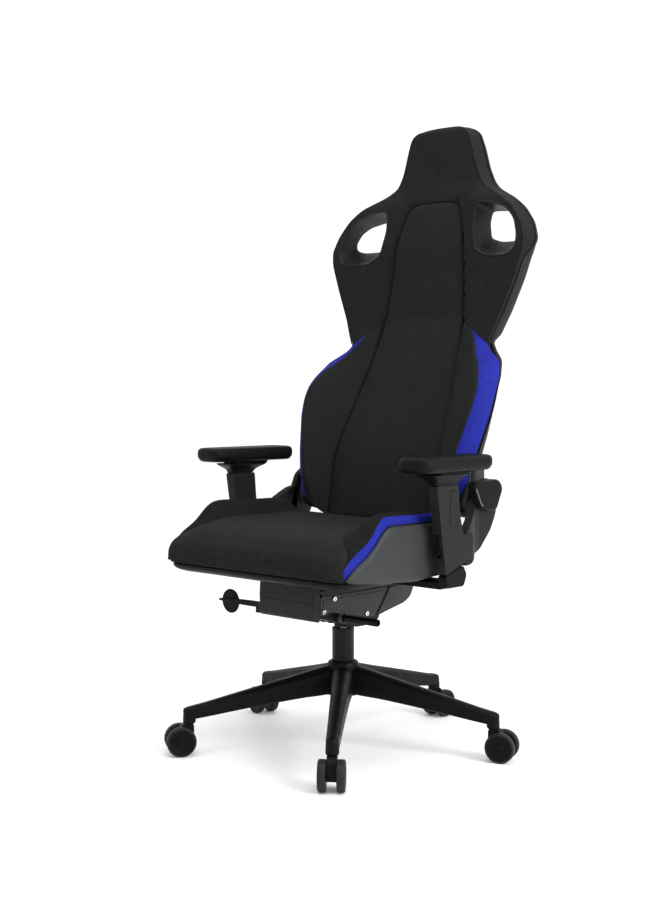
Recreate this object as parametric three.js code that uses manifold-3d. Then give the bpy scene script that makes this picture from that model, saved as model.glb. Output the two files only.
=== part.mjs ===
// Gaming chair: five-star base on twin-wheel casters, gas lift, rocking mechanism, sliding seat,
// side brackets with telescoping armrests, and a reclining bucket backrest.
// Units are millimetres, +Z up. The sitter faces -Y, so the sitter's left is +X.
// Everything is built about the column axis; the whole chair is then moved so that the origin
// is the bottom centre of its bounding box.

import * as THREE from 'three';
import { mergeVertices } from 'three/addons/utils/BufferGeometryUtils.js';
import Module from 'manifold-3d';

const wasm = await Module();
wasm.setup();

// ---- Driving dimensions -------------------------------------------------------------------

const GAP = 0.3; // clearance between pieces that touch
const ORIGIN = { x: 5, y: -26 }; // place of the column axis relative to the bounding box centre
const ROUND = 20; // sides of a large round piece
const SMALL_ROUND = 12; // sides of a small round piece

const BASE = {
  legs: 5,
  turn: 38.83, // degrees from -Y to the first leg
  hubBottom: 118,
  hubTop: 191,
  socketRadius: 347, // caster stem circle
  socketBottom: 72,
  stemBore: 5.8,
};

const CASTER = {
  wheelRadius: 32.5,
  wheelWidth: 17,
  gapWidth: 22, // space between the twin wheels
  trail: 20,
  yokeTop: 71.6,
  axleRadius: 4,
};

const COLUMN = {
  radius: 25,
  bore: 23.2,
  bottom: 112,
  top: 266,
  bushBottom: 205,
  cylinderRadius: 14,
  cylinderBottom: 130,
  cylinderTop: 318,
  rodRadius: 5,
};

const MECHANISM = {
  halfWidth: 70,
  axle: { y: -140, z: 338, radius: 6 },
  springSeat: { y: -80, z: 306 },
  plateBottom: 366,
  plateThickness: 6,
};

const SIDE_PLATE = { inside: 76, thickness: 8 };
const RAIL = { x: 58, width: 30, top: 388, front: -150, rear: 100 };

const SEAT = {
  front: -292,
  rear: 118,
  panBottom: 399,
  panTop: 418,
  panHalfWidth: 256,
  cushionHalfWidth: 266,
  panelInside: 267,
  panelThickness: 8,
};

const BRACKET = {
  inside: 292,
  outside: 316,
  rearInside: 266, // the rear branch steps in towards the backrest
  rearOutside: 282,
  sleeveTop: 600,
  pivot: { y: 162, z: 568 },
  pinRadius: 8,
};

const ARM = {
  x: 301,
  y: -12,
  padWidth: 84,
  padLength: 250,
  padBottom: 628.4,
  padTop: 661,
  toeOut: 3, // degrees
};

const SPIGOT = { radius: 9, height: 5, socketRadius: 9.7 }; // swivel between the armrest's slider and pad
const SLEEVE = { x: [296, 308], y: [-46, -4], bottom: 450 }; // hollow in the bracket for the armrest post
const BUTTON = { y: [-20, 4], z: [514, 590], depth: 5.4, travel: 2 };
const HEIGHT_LEVER = { y: -132, z: 317, reach: 262, paddle: { x: 229, radius: 26 } };
const LEVER_PIVOT = { x: 96, pin: 3 }; // pivot of the height lever, out from the middle
const LOCK_LEVER = { y: -89, z: 307, radius: 8, from: 74, to: 181 };

const HEIGHT = 1415; // top of the head section
const BACK_BOTTOM = 500;
const SHOULDER_BOTTOM = 905;
const SHELL_BOTTOM = 498;
const PAD_DEPTH = 36; // from a pad seam back to the shell
const SHELL_DEPTH = 10; // from the shell's inner face to its outer face, at the middle
const RIM = 3; // thickness of the shell's rim around the padding
const CENTRE_BULGE = 12; // how far the centre pad swells forward of its seams
const PAD_TOP = 1226; // top of the centre pad

// Seam between the centre pad and the side pads: [height, half-distance, y].
const SEAM = [
  [512, 160, 120],
  [604, 156, 152],
  [675, 147, 185],
  [734, 140, 213],
  [806, 132, 240],
  [890, 123, 266],
  [963, 115, 282],
  [1059, 106, 293],
  [1131, 100, 296],
  [1190, 84, 310],
  [1226, 66, 320],
  [1280, 66, 334],
  [HEIGHT, 66, 342],
];

// Rim of the shell, around the backrest: [height, half-width, y, depth of its side].
const EDGE = [
  [512, 252, 92, 30],
  [600, 262, 123, 30],
  [655, 268, 143, 28],
  [743, 275, 180, 26],
  [822, 276, 212, 28],
  [862, 262, 232, 34],
  [905, 207, 258, 42],
  [974, 238, 267, 45],
  [1045, 268, 272, 45],
  [1103, 288, 274, 45],
  [1134, 291, 277, 45],
  [1172, 276, 285, 45],
  [1208, 247, 291, 46],
  [1234, 211, 297, 48],
  [1260, 159, 323, 44],
  [1280, 133, 338, 42],
  [1313, 117, 340, 42],
  [1359, 97, 340, 42],
  [1395, 82, 339, 40],
  [1409, 66, 341, 36],
  [HEIGHT, 46, 343, 30],
];

// Crest of the lower side bolsters: [height, half-distance, y].
const CREST = [
  [512, 198, 96],
  [595, 215, 90],
  [646, 226, 101],
  [730, 248, 123],
  [773, 255, 139],
  [804, 253, 154],
  [834, 240, 178],
  [862, 214, 209],
  [SHOULDER_BOTTOM, 165, 252],
];

const SECTION_HEIGHTS = [
  560, 600, 655, 700, 743, 773, 806, 834, 862, 890, 905, 940, 974, 1045, 1103, 1134, 1172, 1208, 1234, 1260,
  1280, 1313, 1359, 1395, 1409,
]; // where the backrest's outlines bend

// Outline of a shoulder opening, seen from the front: [x, z].
const OPENING_FRONT = [
  [136, 1224],
  [184, 1220],
  [228, 1203],
  [252, 1178],
  [262, 1142],
  [254, 1114],
  [230, 1101],
  [180, 1101],
  [144, 1119],
  [133, 1178],
];
// Its funnel narrows towards (x, z), mostly in height, over a depth behind the padding's face.
const OPENING = { x: 176, z: 1184, faceY: 300, depth: 54, taper: { x: 0.96, z: 0.6 }, wall: 4 };

// ---- Materials ----------------------------------------------------------------------------

const material = (color, roughness, metalness = 0) =>
  new THREE.MeshStandardMaterial({ color, roughness, metalness });

const BLACK_PLASTIC = material(0x1b1c1c, 0.45);
const GREY_PLASTIC = material(0x3c3e40, 0.5);
const FABRIC = material(0x202222, 0.95);
const BLUE_FABRIC = material(0x24289c, 0.9);
const SOFT_PLASTIC = material(0x242525, 0.7);
const CHROME = material(0xc8c8c8, 0.15, 1);
const STEEL = material(0x50535a, 0.35, 1);
const BLACK_METAL = material(0x151616, 0.4, 0.6);

// ---- Geometry helpers ---------------------------------------------------------------------

const radians = THREE.MathUtils.degToRad;

/** Values of a [height, ...values] table at height z, by straight lines between its rows. */
function along(table, z) {
  const next = table.findIndex((row) => row[0] >= z);
  if (next === 0) return table[0].slice(1);
  const [low, high] = next < 0 ? table.slice(-2) : table.slice(next - 1, next + 1);
  const share = Math.min(1, (z - low[0]) / (high[0] - low[0]));
  return low.slice(1).map((value, k) => value + share * (high[k + 1] - value));
}

/** A closed outline through the points, with its corners rounded. */
function outline(points, radius = 0) {
  const shape = new THREE.Shape();
  const corners = points.map(([u, v]) => new THREE.Vector2(u, v));
  corners.forEach((corner, k) => {
    const before = corners.at(k - 1);
    const after = corners[(k + 1) % corners.length];
    const reach = Math.min(radius, 0.45 * corner.distanceTo(before), 0.45 * corner.distanceTo(after));
    const enter = corner.clone().add(before.clone().sub(corner).setLength(reach));
    const leave = corner.clone().add(after.clone().sub(corner).setLength(reach));
    if (k === 0) shape.moveTo(enter.x, enter.y);
    else shape.lineTo(enter.x, enter.y);
    if (reach > 0) shape.quadraticCurveTo(corner.x, corner.y, leave.x, leave.y);
  });
  shape.closePath();
  return shape;
}

/** Corners of a rectangle given by its limits along both axes, drawn in by inset. */
function rectangle([u0, u1], [v0, v1], inset = 0) {
  const [left, right, low, high] = [u0 + inset, u1 - inset, v0 + inset, v1 - inset];
  return [[left, low], [right, low], [right, high], [left, high]];
}

/** An outline in plan, from height low to height high. */
function deck(points, low, high, radius = 0, curveSegments = 3) {
  const depth = high - low;
  const settings = { depth, bevelEnabled: false, curveSegments };
  return new THREE.ExtrudeGeometry(outline(points, radius), settings).translate(0, 0, low);
}

/** An outline seen from the side, [y, z], running along X from one place to another. */
function sideSlab(points, from, to, radius = 0, curveSegments = 3) {
  const turn = new THREE.Matrix4().set(0, 0, 1, 0, 1, 0, 0, 0, 0, 1, 0, 0, 0, 0, 0, 1);
  return deck(points, from, to, radius, curveSegments).applyMatrix4(turn);
}

/** A box given by its limits along each axis. */
function block([x0, x1], [y0, y1], [z0, z1]) {
  const box = new THREE.BoxGeometry(x1 - x0, y1 - y0, z1 - z0);
  return box.translate((x0 + x1) / 2, (y0 + y1) / 2, (z0 + z1) / 2);
}

/** A profile of [radius, height] points turned about Z. */
function turned(profile, segments = ROUND) {
  const points = profile.map(([r, z]) => new THREE.Vector2(r, z));
  return new THREE.LatheGeometry(points, segments).rotateX(Math.PI / 2);
}

/** A ring between two radii and two heights. */
function ring(inner, outer, low, high, segments = ROUND) {
  return turned([[inner, low], [outer, low], [outer, high], [inner, high], [inner, low]], segments);
}

/** A round bar along X, Y or Z that starts at a point. */
function bar(radius, length, axis, [x, y, z], segments = SMALL_ROUND) {
  const geometry = new THREE.CylinderGeometry(radius, radius, length, segments).translate(0, length / 2, 0);
  if (axis === 'x') geometry.rotateZ(-Math.PI / 2);
  if (axis === 'z') geometry.rotateX(Math.PI / 2);
  return geometry.translate(x, y, z);
}

/** A closed solid through rings of points that all have the same count. */
function loft(rings) {
  const count = rings[0].length;
  const positions = rings.flat().flatMap((p) => [p.x, p.y, p.z]);
  const index = [];
  for (let k = 0; k + 1 < rings.length; k += 1) {
    for (let i = 0; i < count; i += 1) {
      const a = k * count + i;
      const b = k * count + ((i + 1) % count);
      index.push(a, b, b + count, a, b + count, a + count);
    }
  }
  const cap = (points, first, flipped) => {
    const axis = new THREE.Vector3();
    points.forEach((p, i) => axis.add(new THREE.Vector3().crossVectors(p, points[(i + 1) % count])));
    const turn = new THREE.Quaternion().setFromUnitVectors(axis.normalize(), new THREE.Vector3(0, 0, 1));
    const flat = points.map((p) => p.clone().applyQuaternion(turn));
    const faces = THREE.ShapeUtils.triangulateShape(flat.map((p) => new THREE.Vector2(p.x, p.y)), []);
    faces.forEach(([a, b, c]) => index.push(first + a, first + (flipped ? c : b), first + (flipped ? b : c)));
  };
  cap(rings[0], 0, true);
  cap(rings.at(-1), (rings.length - 1) * count, false);
  const geometry = new THREE.BufferGeometry();
  geometry.setAttribute('position', new THREE.Float32BufferAttribute(positions, 3));
  geometry.setIndex(index);
  return signedVolume(geometry) < 0 ? reversed(geometry) : geometry;
}

function signedVolume(geometry) {
  const { attributes, index } = geometry;
  const corner = (i) => new THREE.Vector3().fromBufferAttribute(attributes.position, index.getX(i));
  let volume = 0;
  for (let i = 0; i < index.count; i += 3) {
    volume += corner(i).dot(corner(i + 1).cross(corner(i + 2)));
  }
  return volume;
}

function reversed(geometry) {
  const order = geometry.index.array;
  for (let i = 0; i < order.length; i += 3) [order[i + 1], order[i + 2]] = [order[i + 2], order[i + 1]];
  return geometry;
}

/** The same geometry on the chair's other side. */
function mirrored(geometry) {
  return reversed(merged(geometry).scale(-1, 1, 1));
}

/** The geometry with shared vertices and nothing but positions. */
function merged(geometry) {
  const bare = geometry.clone();
  bare.deleteAttribute('normal');
  bare.deleteAttribute('uv');
  return mergeVertices(bare, 1e-4);
}

function solid(geometry) {
  const mesh = merged(geometry);
  const vertProperties = new Float32Array(mesh.attributes.position.array);
  const triVerts = new Uint32Array(mesh.index.array);
  return new wasm.Manifold(new wasm.Mesh({ numProp: 3, vertProperties, triVerts }));
}

function fromSolid(manifold) {
  const { vertProperties, triVerts } = manifold.getMesh();
  const geometry = new THREE.BufferGeometry();
  geometry.setAttribute('position', new THREE.BufferAttribute(vertProperties, 3));
  geometry.setIndex(new THREE.BufferAttribute(triVerts, 1));
  return geometry;
}

const join = (first, ...others) =>
  fromSolid(others.reduce((body, other) => body.add(solid(other)), solid(first)));

const cut = (first, ...tools) =>
  fromSolid(tools.reduce((body, tool) => body.subtract(solid(tool)), solid(first)));

// ---- Scene graph --------------------------------------------------------------------------

const chair = new THREE.Group();
chair.name = 'gaming_chair';
chair.position.set(ORIGIN.x, ORIGIN.y, 0);

function add(name, geometry, look, parent = chair) {
  const shaded = geometry.index ? geometry.toNonIndexed() : geometry;
  shaded.computeVertexNormals();
  const mesh = new THREE.Mesh(shaded, look);
  mesh.name = name;
  parent.add(mesh);
  return mesh;
}

/** One piece on each side of the chair: the geometry is the left one's, at +X. */
function addPair(name, geometry, look, parent = chair) {
  add(`${name}_left`, geometry, look, parent);
  add(`${name}_right`, mirrored(geometry), look, parent);
}

// ---- Base ---------------------------------------------------------------------------------

/** One section of a leg, across it: flat below, upright sides and an arched top. */
function legSection([r, width, low, high]) {
  const w = width / 2;
  const h = high - low;
  const half = [
    [w * 0.86, low], [w, low + 0.15 * h], [w * 0.94, low + 0.78 * h],
    [w * 0.62, high - 0.06 * h], [w * 0.3, high],
  ];
  const other = half.map(([y, z]) => [-y, z]).reverse();
  return [...half, ...other].map(([y, z]) => new THREE.Vector3(r, y, z));
}

/** A leg that runs along +X, with the hollow underside and its caster socket. */
function leg() {
  const profile = [
    [24, 50, 122, 181],
    [110, 41, 112, 163],
    [220, 34, 97, 136],
    [330, 28, 80, 109],
    [357, 25, 78, 102],
  ];
  const pocketSection = (r, width) =>
    [[-1, 60], [1, 60], [1, 150 - 0.16 * r], [-1, 150 - 0.16 * r]].map(([side, z]) =>
      new THREE.Vector3(r, side * width / 2, z));
  const pockets = [[60, 178], [186, 310]].map(([from, to]) =>
    loft([pocketSection(from, 30), pocketSection(to, 19)]));
  const socket = bar(13.5, 32, 'z', [BASE.socketRadius, 0, BASE.socketBottom]);
  return cut(join(loft(profile.map(legSection)), socket), ...pockets);
}

function fiveStarBase() {
  const { hubBottom, hubTop } = BASE;
  const hub = turned([[0, hubBottom], [42, hubBottom], [36, hubTop - 15], [33, hubTop], [0, hubTop]]);
  const legs = Array.from({ length: BASE.legs }, (_, k) =>
    leg().rotateZ(legAngle(k)));
  const bores = Array.from({ length: BASE.legs }, (_, k) =>
    bar(BASE.stemBore, 40, 'z', [BASE.socketRadius, 0, 58]).rotateZ(legAngle(k)));
  const columnBore = bar(COLUMN.radius + GAP, 120, 'z', [0, 0, 100], ROUND);
  return cut(join(hub, ...legs), columnBore, ...bores);
}

/** Angle about Z that turns +X to the direction of leg k. */
function legAngle(k) {
  return radians(BASE.turn + (360 / BASE.legs) * k - 90);
}

/** The yoke between the twin wheels, with its stem on the origin and the axle towards +X. */
function casterYoke() {
  const half = CASTER.gapWidth / 2 - GAP;
  const profile = [
    [-9, 46], [-9, 66], [-4, CASTER.yokeTop], [10, CASTER.yokeTop], [24, 60],
    [33, 42], [31, 24], [17, 18], [2, 26],
  ];
  const web = sideSlab(profile, -half, half, 5).rotateZ(-Math.PI / 2);
  const stem = bar(BASE.stemBore - GAP, 36, 'z', [0, 0, 60]);
  const axleBore = bar(CASTER.axleRadius + GAP, 40, 'y', [CASTER.trail, -20, CASTER.wheelRadius]);
  return cut(join(web, stem), axleBore);
}

/** Twin wheels on one axle, along Y about the origin, with a flat of each rim facing down. */
function casterWheels() {
  const inner = CASTER.gapWidth / 2;
  const outer = inner + CASTER.wheelWidth;
  const r = CASTER.wheelRadius;
  const half = [
    [CASTER.axleRadius, inner], [r - 3, inner], [r, inner + 3], [r, outer - 3], [r - 3, outer], [0, outer],
  ];
  const profile = [...half.map(([radius, place]) => [radius, -place]).reverse(), ...half];
  const flat = Math.PI / ROUND;
  const wheels = turned(profile).rotateZ(flat).rotateX(Math.PI / 2);
  return wheels.scale(1 / Math.cos(flat), 1, 1 / Math.cos(flat));
}

function addBase() {
  add('five_star_base', fiveStarBase(), BLACK_PLASTIC);
  for (let k = 0; k < BASE.legs; k += 1) {
    const caster = new THREE.Group();
    caster.position.set(BASE.socketRadius, 0, 0).applyAxisAngle(new THREE.Vector3(0, 0, 1), legAngle(k));
    caster.rotation.z = legAngle(k);
    chair.add(caster);
    add(`caster_yoke_${k + 1}`, casterYoke(), BLACK_PLASTIC, caster);
    const wheels = add(`caster_wheels_${k + 1}`, casterWheels(), SOFT_PLASTIC, caster);
    wheels.position.set(CASTER.trail, 0, CASTER.wheelRadius);
  }
}

// ---- Gas lift -----------------------------------------------------------------------------

function addColumn() {
  const { radius, bore, bottom, top, bushBottom } = COLUMN;
  const { cylinderRadius, cylinderBottom, cylinderTop, rodRadius } = COLUMN;
  const floor = bottom + 4;
  add('column_tube', turned([
    [rodRadius + 0.6, bottom], [radius - 2, bottom], [radius, bottom + 3],
    [radius, top - 2], [radius - 1.5, top], [bore, top], [bore, floor],
    [rodRadius + 0.6, floor], [rodRadius + 0.6, bottom],
  ]), BLACK_METAL);
  add('guide_bush', ring(cylinderRadius + GAP, bore - GAP, bushBottom, top - 2), SOFT_PLASTIC);
  add('thrust_bearing', ring(rodRadius + GAP, 13, floor + GAP, floor + 5), STEEL);
  add('rod_clip', ring(rodRadius + GAP, 10, bottom - 3.5, bottom - GAP, SMALL_ROUND), STEEL);
  const piston = 252;
  add('piston_rod', turned([
    [0, bottom - 6], [rodRadius, bottom - 6],
    [rodRadius, piston], [9.6, piston], [9.6, piston + 12], [0, piston + 12],
  ], SMALL_ROUND), CHROME);
  add('gas_cylinder', turned([
    [0, 285], [10, 285], [10, 140], [rodRadius + GAP, 140], [rodRadius + GAP, cylinderBottom],
    [cylinderRadius, cylinderBottom], [cylinderRadius, 300], [12.5, cylinderTop], [0, cylinderTop],
  ]), CHROME);
}

// ---- Rocking mechanism --------------------------------------------------------------------

/** A helical compression spring on the +Z axis through the origin. */
class SpringCurve extends THREE.Curve {
  constructor(radius, height, turns) {
    super();
    Object.assign(this, { radius, height, turns });
  }

  getPoint(share, target = new THREE.Vector3()) {
    const angle = share * this.turns * 2 * Math.PI;
    return target.set(this.radius * Math.cos(angle), this.radius * Math.sin(angle), share * this.height);
  }
}

function tensionSpring() {
  const wire = 2.6;
  const { springSeat, plateBottom } = MECHANISM;
  const height = plateBottom - springSeat.z - 2 * wire - 2;
  const section = new THREE.Shape(Array.from({ length: 5 }, (_, k) =>
    new THREE.Vector2(wire * Math.cos(k * 0.4 * Math.PI), wire * Math.sin(k * 0.4 * Math.PI))));
  const path = new SpringCurve(15, height, 5);
  return new THREE.ExtrudeGeometry(section, { extrudePath: path, steps: 44 })
    .translate(0, 0, wire + 1);
}

/** Open-topped pressed housing, with a socket for the cylinder and a seat for the spring. */
function mechanismHousing() {
  const { halfWidth, axle, springSeat } = MECHANISM;
  const profile = [
    [-152, 312], [-152, 349], [-118, 349], [45, 321], [45, 292], [24, 278], [-32, 278], [-104, 298],
  ];
  const inside = [[-116, 370], [-116, 306], [-99, 304], [-31, 284], [22, 284], [39, 295], [39, 370]];
  const wall = 6;
  const hollow = sideSlab(inside, wall - halfWidth, halfWidth - wall);
  const socketBoss = bar(COLUMN.cylinderRadius + 8, 43, 'z', [0, 0, 280], ROUND);
  const springBoss = bar(26, 24, 'z', [0, springSeat.y, 292], ROUND);
  const body = join(cut(sideSlab(profile, -halfWidth, halfWidth, 6), hollow), socketBoss, springBoss);
  const socketDepth = COLUMN.cylinderTop + GAP - 200;
  const columnSocket = bar(COLUMN.cylinderRadius + GAP, socketDepth, 'z', [0, 0, 200], ROUND);
  const springPocket = bar(21, 80, 'z', [0, springSeat.y, springSeat.z], ROUND);
  const axleBore = bar(axle.radius + GAP, 200, 'x', [-100, axle.y, axle.z]);
  return cut(body, columnSocket, springPocket, axleBore);
}

/** Side plate of the carrier; the left one has a tab that guides the lock lever. */
function sidePlate(hasTab) {
  const { inside, thickness } = SIDE_PLATE;
  const profile = [[-162, 318], [-162, 359], [58, 359], [40, 332], [12, 298], [-12, 300], [-128, 323]];
  const plate = sideSlab(profile, inside, inside + thickness, 4);
  const { axle } = MECHANISM;
  const axleBore = bar(axle.radius + GAP, 60, 'x', [inside - 20, axle.y, axle.z]);
  const screwBores = screwPlaces().map(([y, z]) => bar(3 + GAP, 30, 'x', [inside - 10, y, z], 8));
  const plain = cut(plate, axleBore, ...screwBores);
  if (!hasTab) return plain;
  const { y, z, radius } = LOCK_LEVER;
  const tab = bar(radius + 4, thickness - 2, 'x', [inside, y, z], ROUND);
  return cut(join(plain, tab), bar(radius + GAP, 30, 'x', [inside - 10, y, z]));
}

/** Where the mechanism's side screws sit: [y, z]. */
function screwPlaces() {
  return [[-153, 327], [-120, 352], [-16, 308]];
}

function mechanismScrew([y, z]) {
  const { inside, thickness } = SIDE_PLATE;
  const face = inside + thickness;
  const shank = bar(3, thickness + 3, 'x', [inside - 3, y, z], 8);
  const head = bar(5.5, 3, 'x', [face + GAP, y, z], 12);
  return join(shank, bar(3, 1, 'x', [face, y, z], 8), head);
}

function rearCover() {
  const profile = [
    [60, 359], [42, 332], [15, 298], [50, 306], [110, 318], [132, 330], [142, 348], [143, 359],
  ];
  const shell = sideSlab(profile, -86, 86, 6);
  const inside = [[0, 370], [0, 270], [54, 270], [54, 312], [108, 325], [127, 336], [136, 370]];
  return cut(shell, sideSlab(inside, -72, 72));
}

/** Cover across the front, with the pivot pin of the height lever on a lug at its right end. */
function frontCover() {
  const profile = [[-178, 311], [-178, 354], [-172, 361], [-164.5, 361], [-164.5, 306], [-172, 306]];
  const { x, pin } = LEVER_PIVOT;
  const { y, z } = HEIGHT_LEVER;
  const plateFace = SIDE_PLATE.inside + SIDE_PLATE.thickness;
  const end = block([-x - 9, -plateFace - GAP], [-172, y - 7 - GAP], [z - 9, z + 9]);
  const web = block([-x - 9, -80], [-172, -165], [z - 9, z + 9]);
  const pivotPin = bar(pin, 16 + GAP, 'y', [-x, y - 7 - 2 * GAP, z]);
  return join(sideSlab(profile, -84, 84, 3), web, end, pivotPin);
}

function carrierPlate() {
  const { plateBottom, plateThickness } = MECHANISM;
  const top = plateBottom + plateThickness;
  const plate = deck([[-86, -176], [86, -176], [86, 142], [-86, 142]], plateBottom, top, 10);
  const ribs = [-1, 1].map((side) =>
    block([side * 80 - 5, side * 80 + 5], [-160, 136], [360 + GAP, plateBottom + 1]));
  return join(plate, ...ribs);
}

/** The arm under the seat that carries a side bracket. */
function crossArm() {
  const deckTop = MECHANISM.plateBottom + MECHANISM.plateThickness;
  const flange = block([79, 130], [-40, 48], [deckTop + GAP, deckTop + 8]);
  const beam = block([100, BRACKET.outside], [-26, 34], [376, SEAT.panBottom - 2]);
  const footProfile = [[-26, 376], [-31, 411], [30, 432], [50, 408], [36, 376]];
  const foot = sideSlab(footProfile, BRACKET.inside, BRACKET.outside, 3);
  return join(flange, beam, foot);
}

/** The fixed half of a seat slide, screwed to the carrier plate, with a groove along its top. */
function lowerRail() {
  const { x, width, top, front, rear } = RAIL;
  const bottom = MECHANISM.plateBottom + MECHANISM.plateThickness + GAP;
  const track = block([x - width / 2, x + width / 2], [front, rear], [bottom, top]);
  return cut(track, block([x - 7, x + 7], [front - 1, rear + 1], [top - 8, top + 1]));
}

/** The moving half of a seat slide, under the seat pan, with a tongue in the groove. */
function upperRail() {
  const { x, width, top, front, rear } = RAIL;
  const shoe = block([x - width / 2, x + width / 2], [front, rear], [top + GAP, SEAT.panBottom - GAP]);
  return join(shoe, block([x - 6.5, x + 6.5], [front, rear], [top - 7.5, top + 1]));
}

function addMechanism() {
  const { axle, springSeat } = MECHANISM;
  const { inside, thickness } = SIDE_PLATE;
  const reach = inside + thickness;
  add('mechanism_housing', mechanismHousing(), BLACK_METAL);
  const spring = add('tension_spring', tensionSpring(), STEEL);
  spring.position.set(0, springSeat.y, springSeat.z);
  add('tilt_axle', bar(axle.radius, 2 * reach - 2, 'x', [1 - reach, axle.y, axle.z]), STEEL);
  add('carrier_plate', carrierPlate(), BLACK_METAL);
  add('side_plate_left', sidePlate(true), GREY_PLASTIC);
  add('side_plate_right', mirrored(sidePlate(false)), GREY_PLASTIC);
  add('front_cover', frontCover(), BLACK_PLASTIC);
  add('rear_cover', rearCover(), GREY_PLASTIC);
  screwPlaces().forEach((place, k) => add(`side_screw_${k + 1}`, mechanismScrew(place), CHROME));
  addPair('cross_arm', crossArm(), BLACK_PLASTIC);
}

// ---- Levers -------------------------------------------------------------------------------

/** Paddle lever on the sitter's right: a flat arm along -X with a round paddle near its tip. */
function heightLever() {
  const { reach, y, z, paddle } = HEIGHT_LEVER;
  const arm = block([-reach, -LEVER_PIVOT.x], [y - 4, y + 4], [z - 4, z + 5]);
  const disc = bar(paddle.radius, 5, 'y', [-paddle.x, y, z - 2], ROUND);
  const boss = bar(8, 14, 'y', [-LEVER_PIVOT.x, y - 7, z]);
  return cut(join(arm, disc, boss), bar(LEVER_PIVOT.pin + GAP, 30, 'y', [-LEVER_PIVOT.x, y - 15, z]));
}

function lockLever() {
  const { y, z, radius, from, to } = LOCK_LEVER;
  return cut(bar(radius, to - from, 'x', [from, y, z]), bar(radius - 2.5, 30, 'x', [to - 25, y, z]));
}

/** The recline handle: a rounded paddle on the outside of the left bracket's pivot. */
function reclineLever() {
  const { pivot, rearOutside, pinRadius } = BRACKET;
  const profile = [[71, 600], [165, 604], [180, 584], [155, 532], [101, 544]];
  const paddle = sideSlab(profile, rearOutside + 5, rearOutside + 26, 14, 4);
  const hub = bar(16, 5.5, 'x', [rearOutside + GAP, pivot.y, pivot.z], ROUND);
  return cut(join(paddle, hub), bar(pinRadius + GAP, 12, 'x', [rearOutside - 2, pivot.y, pivot.z]));
}

// ---- Seat ---------------------------------------------------------------------------------

/** Half-width of the seat's plan at a place along Y, narrowing at the front corners. */
function seatHalfWidth(full, y) {
  const corner = 46;
  const into = Math.max(0, SEAT.front + corner - y) / corner;
  return full - corner * 0.9 * (1 - Math.sqrt(Math.max(0, 1 - into * into)));
}

/** Moulded tray under the cushion, hollowed from below beside and in front of the rails. */
function seatPan() {
  const { front, rear, panBottom, panTop, panHalfWidth } = SEAT;
  const stations = [0, 6, 18, 46].map((offset) => front + offset);
  const half = stations.map((y) => [seatHalfWidth(panHalfWidth, y), y]);
  const side = [...half, [panHalfWidth - 20, rear]];
  const plan = [...side, ...side.map(([x, y]) => [-x, y]).reverse()];
  const tray = deck(plan, panBottom, panTop);
  const skin = 4;
  const depths = [panBottom - 1, panTop - skin];
  const sideHollow = block([88, panHalfWidth - 20], [front + 30, rear - 20], depths);
  const frontHollow = block([-76, 76], [front + 30, RAIL.front - 12], depths);
  return cut(tray, sideHollow, mirrored(sideHollow), frontHollow);
}

/** Grey side panel of the seat; its upper edge falls in an S-curve to the front. */
function seatPanel() {
  const { panelInside, panelThickness } = SEAT;
  const profile = [
    [-286, 408], [-291, 418], [-284, 432], [-258, 447], [-226, 468], [-203, 492], [-184, 514], [-160, 524],
    [60, 520], [60, 412], [-80, 399], [-220, 401],
  ];
  return sideSlab(profile, panelInside, panelInside + panelThickness, 4);
}

/** A section of the seat cushion across the seat at a place along Y. */
function cushionSection([y, halfWidth, bottom, rim, crest, middle]) {
  const w = halfWidth;
  const half = [
    [w * 0.97, bottom], [w, bottom + 0.3 * (rim - bottom)], [w, rim], [w - 14, crest], [w - 36, crest - 2],
    [w * 0.72, middle + 0.35 * (crest - middle)], [w * 0.55, middle],
  ];
  const other = half.map(([x, z]) => [-x, z]).reverse();
  return [...half, [0, middle - 2], ...other].map(([x, z]) => new THREE.Vector3(x, y, z));
}

function seatCushion() {
  const base = SEAT.panTop + GAP;
  const w = SEAT.cushionHalfWidth;
  // [y, half-width, underside, side edge, bolster crest, middle]
  return loft([
    [-300, w - 30, base + 10, base + 22, base + 26, base + 28],
    [-296, w - 14, base + 2, base + 34, base + 42, base + 50],
    [-284, w - 3, base, base + 36, base + 52, 478],
    [-262, w, base, 458, 482, 496],
    [-225, w, base, 492, 508, 507],
    [-190, w, base, 520, 538, 509],
    [-156, w, base, 531, 547, 509],
    [-60, w, base, 530, 545, 508],
    [50, w, base, 528, 540, 509],
    [78, w - 6, base, 508, 513, 506],
    [94, w - 16, base, 488, 494, 492],
  ].map(cushionSection));
}

// ---- Side brackets and armrests -----------------------------------------------------------

/** Outline of the armrest button, [y, z], smaller than its pocket by inset. */
const buttonOutline = (inset = 0) => rectangle(BUTTON.y, BUTTON.z, inset);

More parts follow.
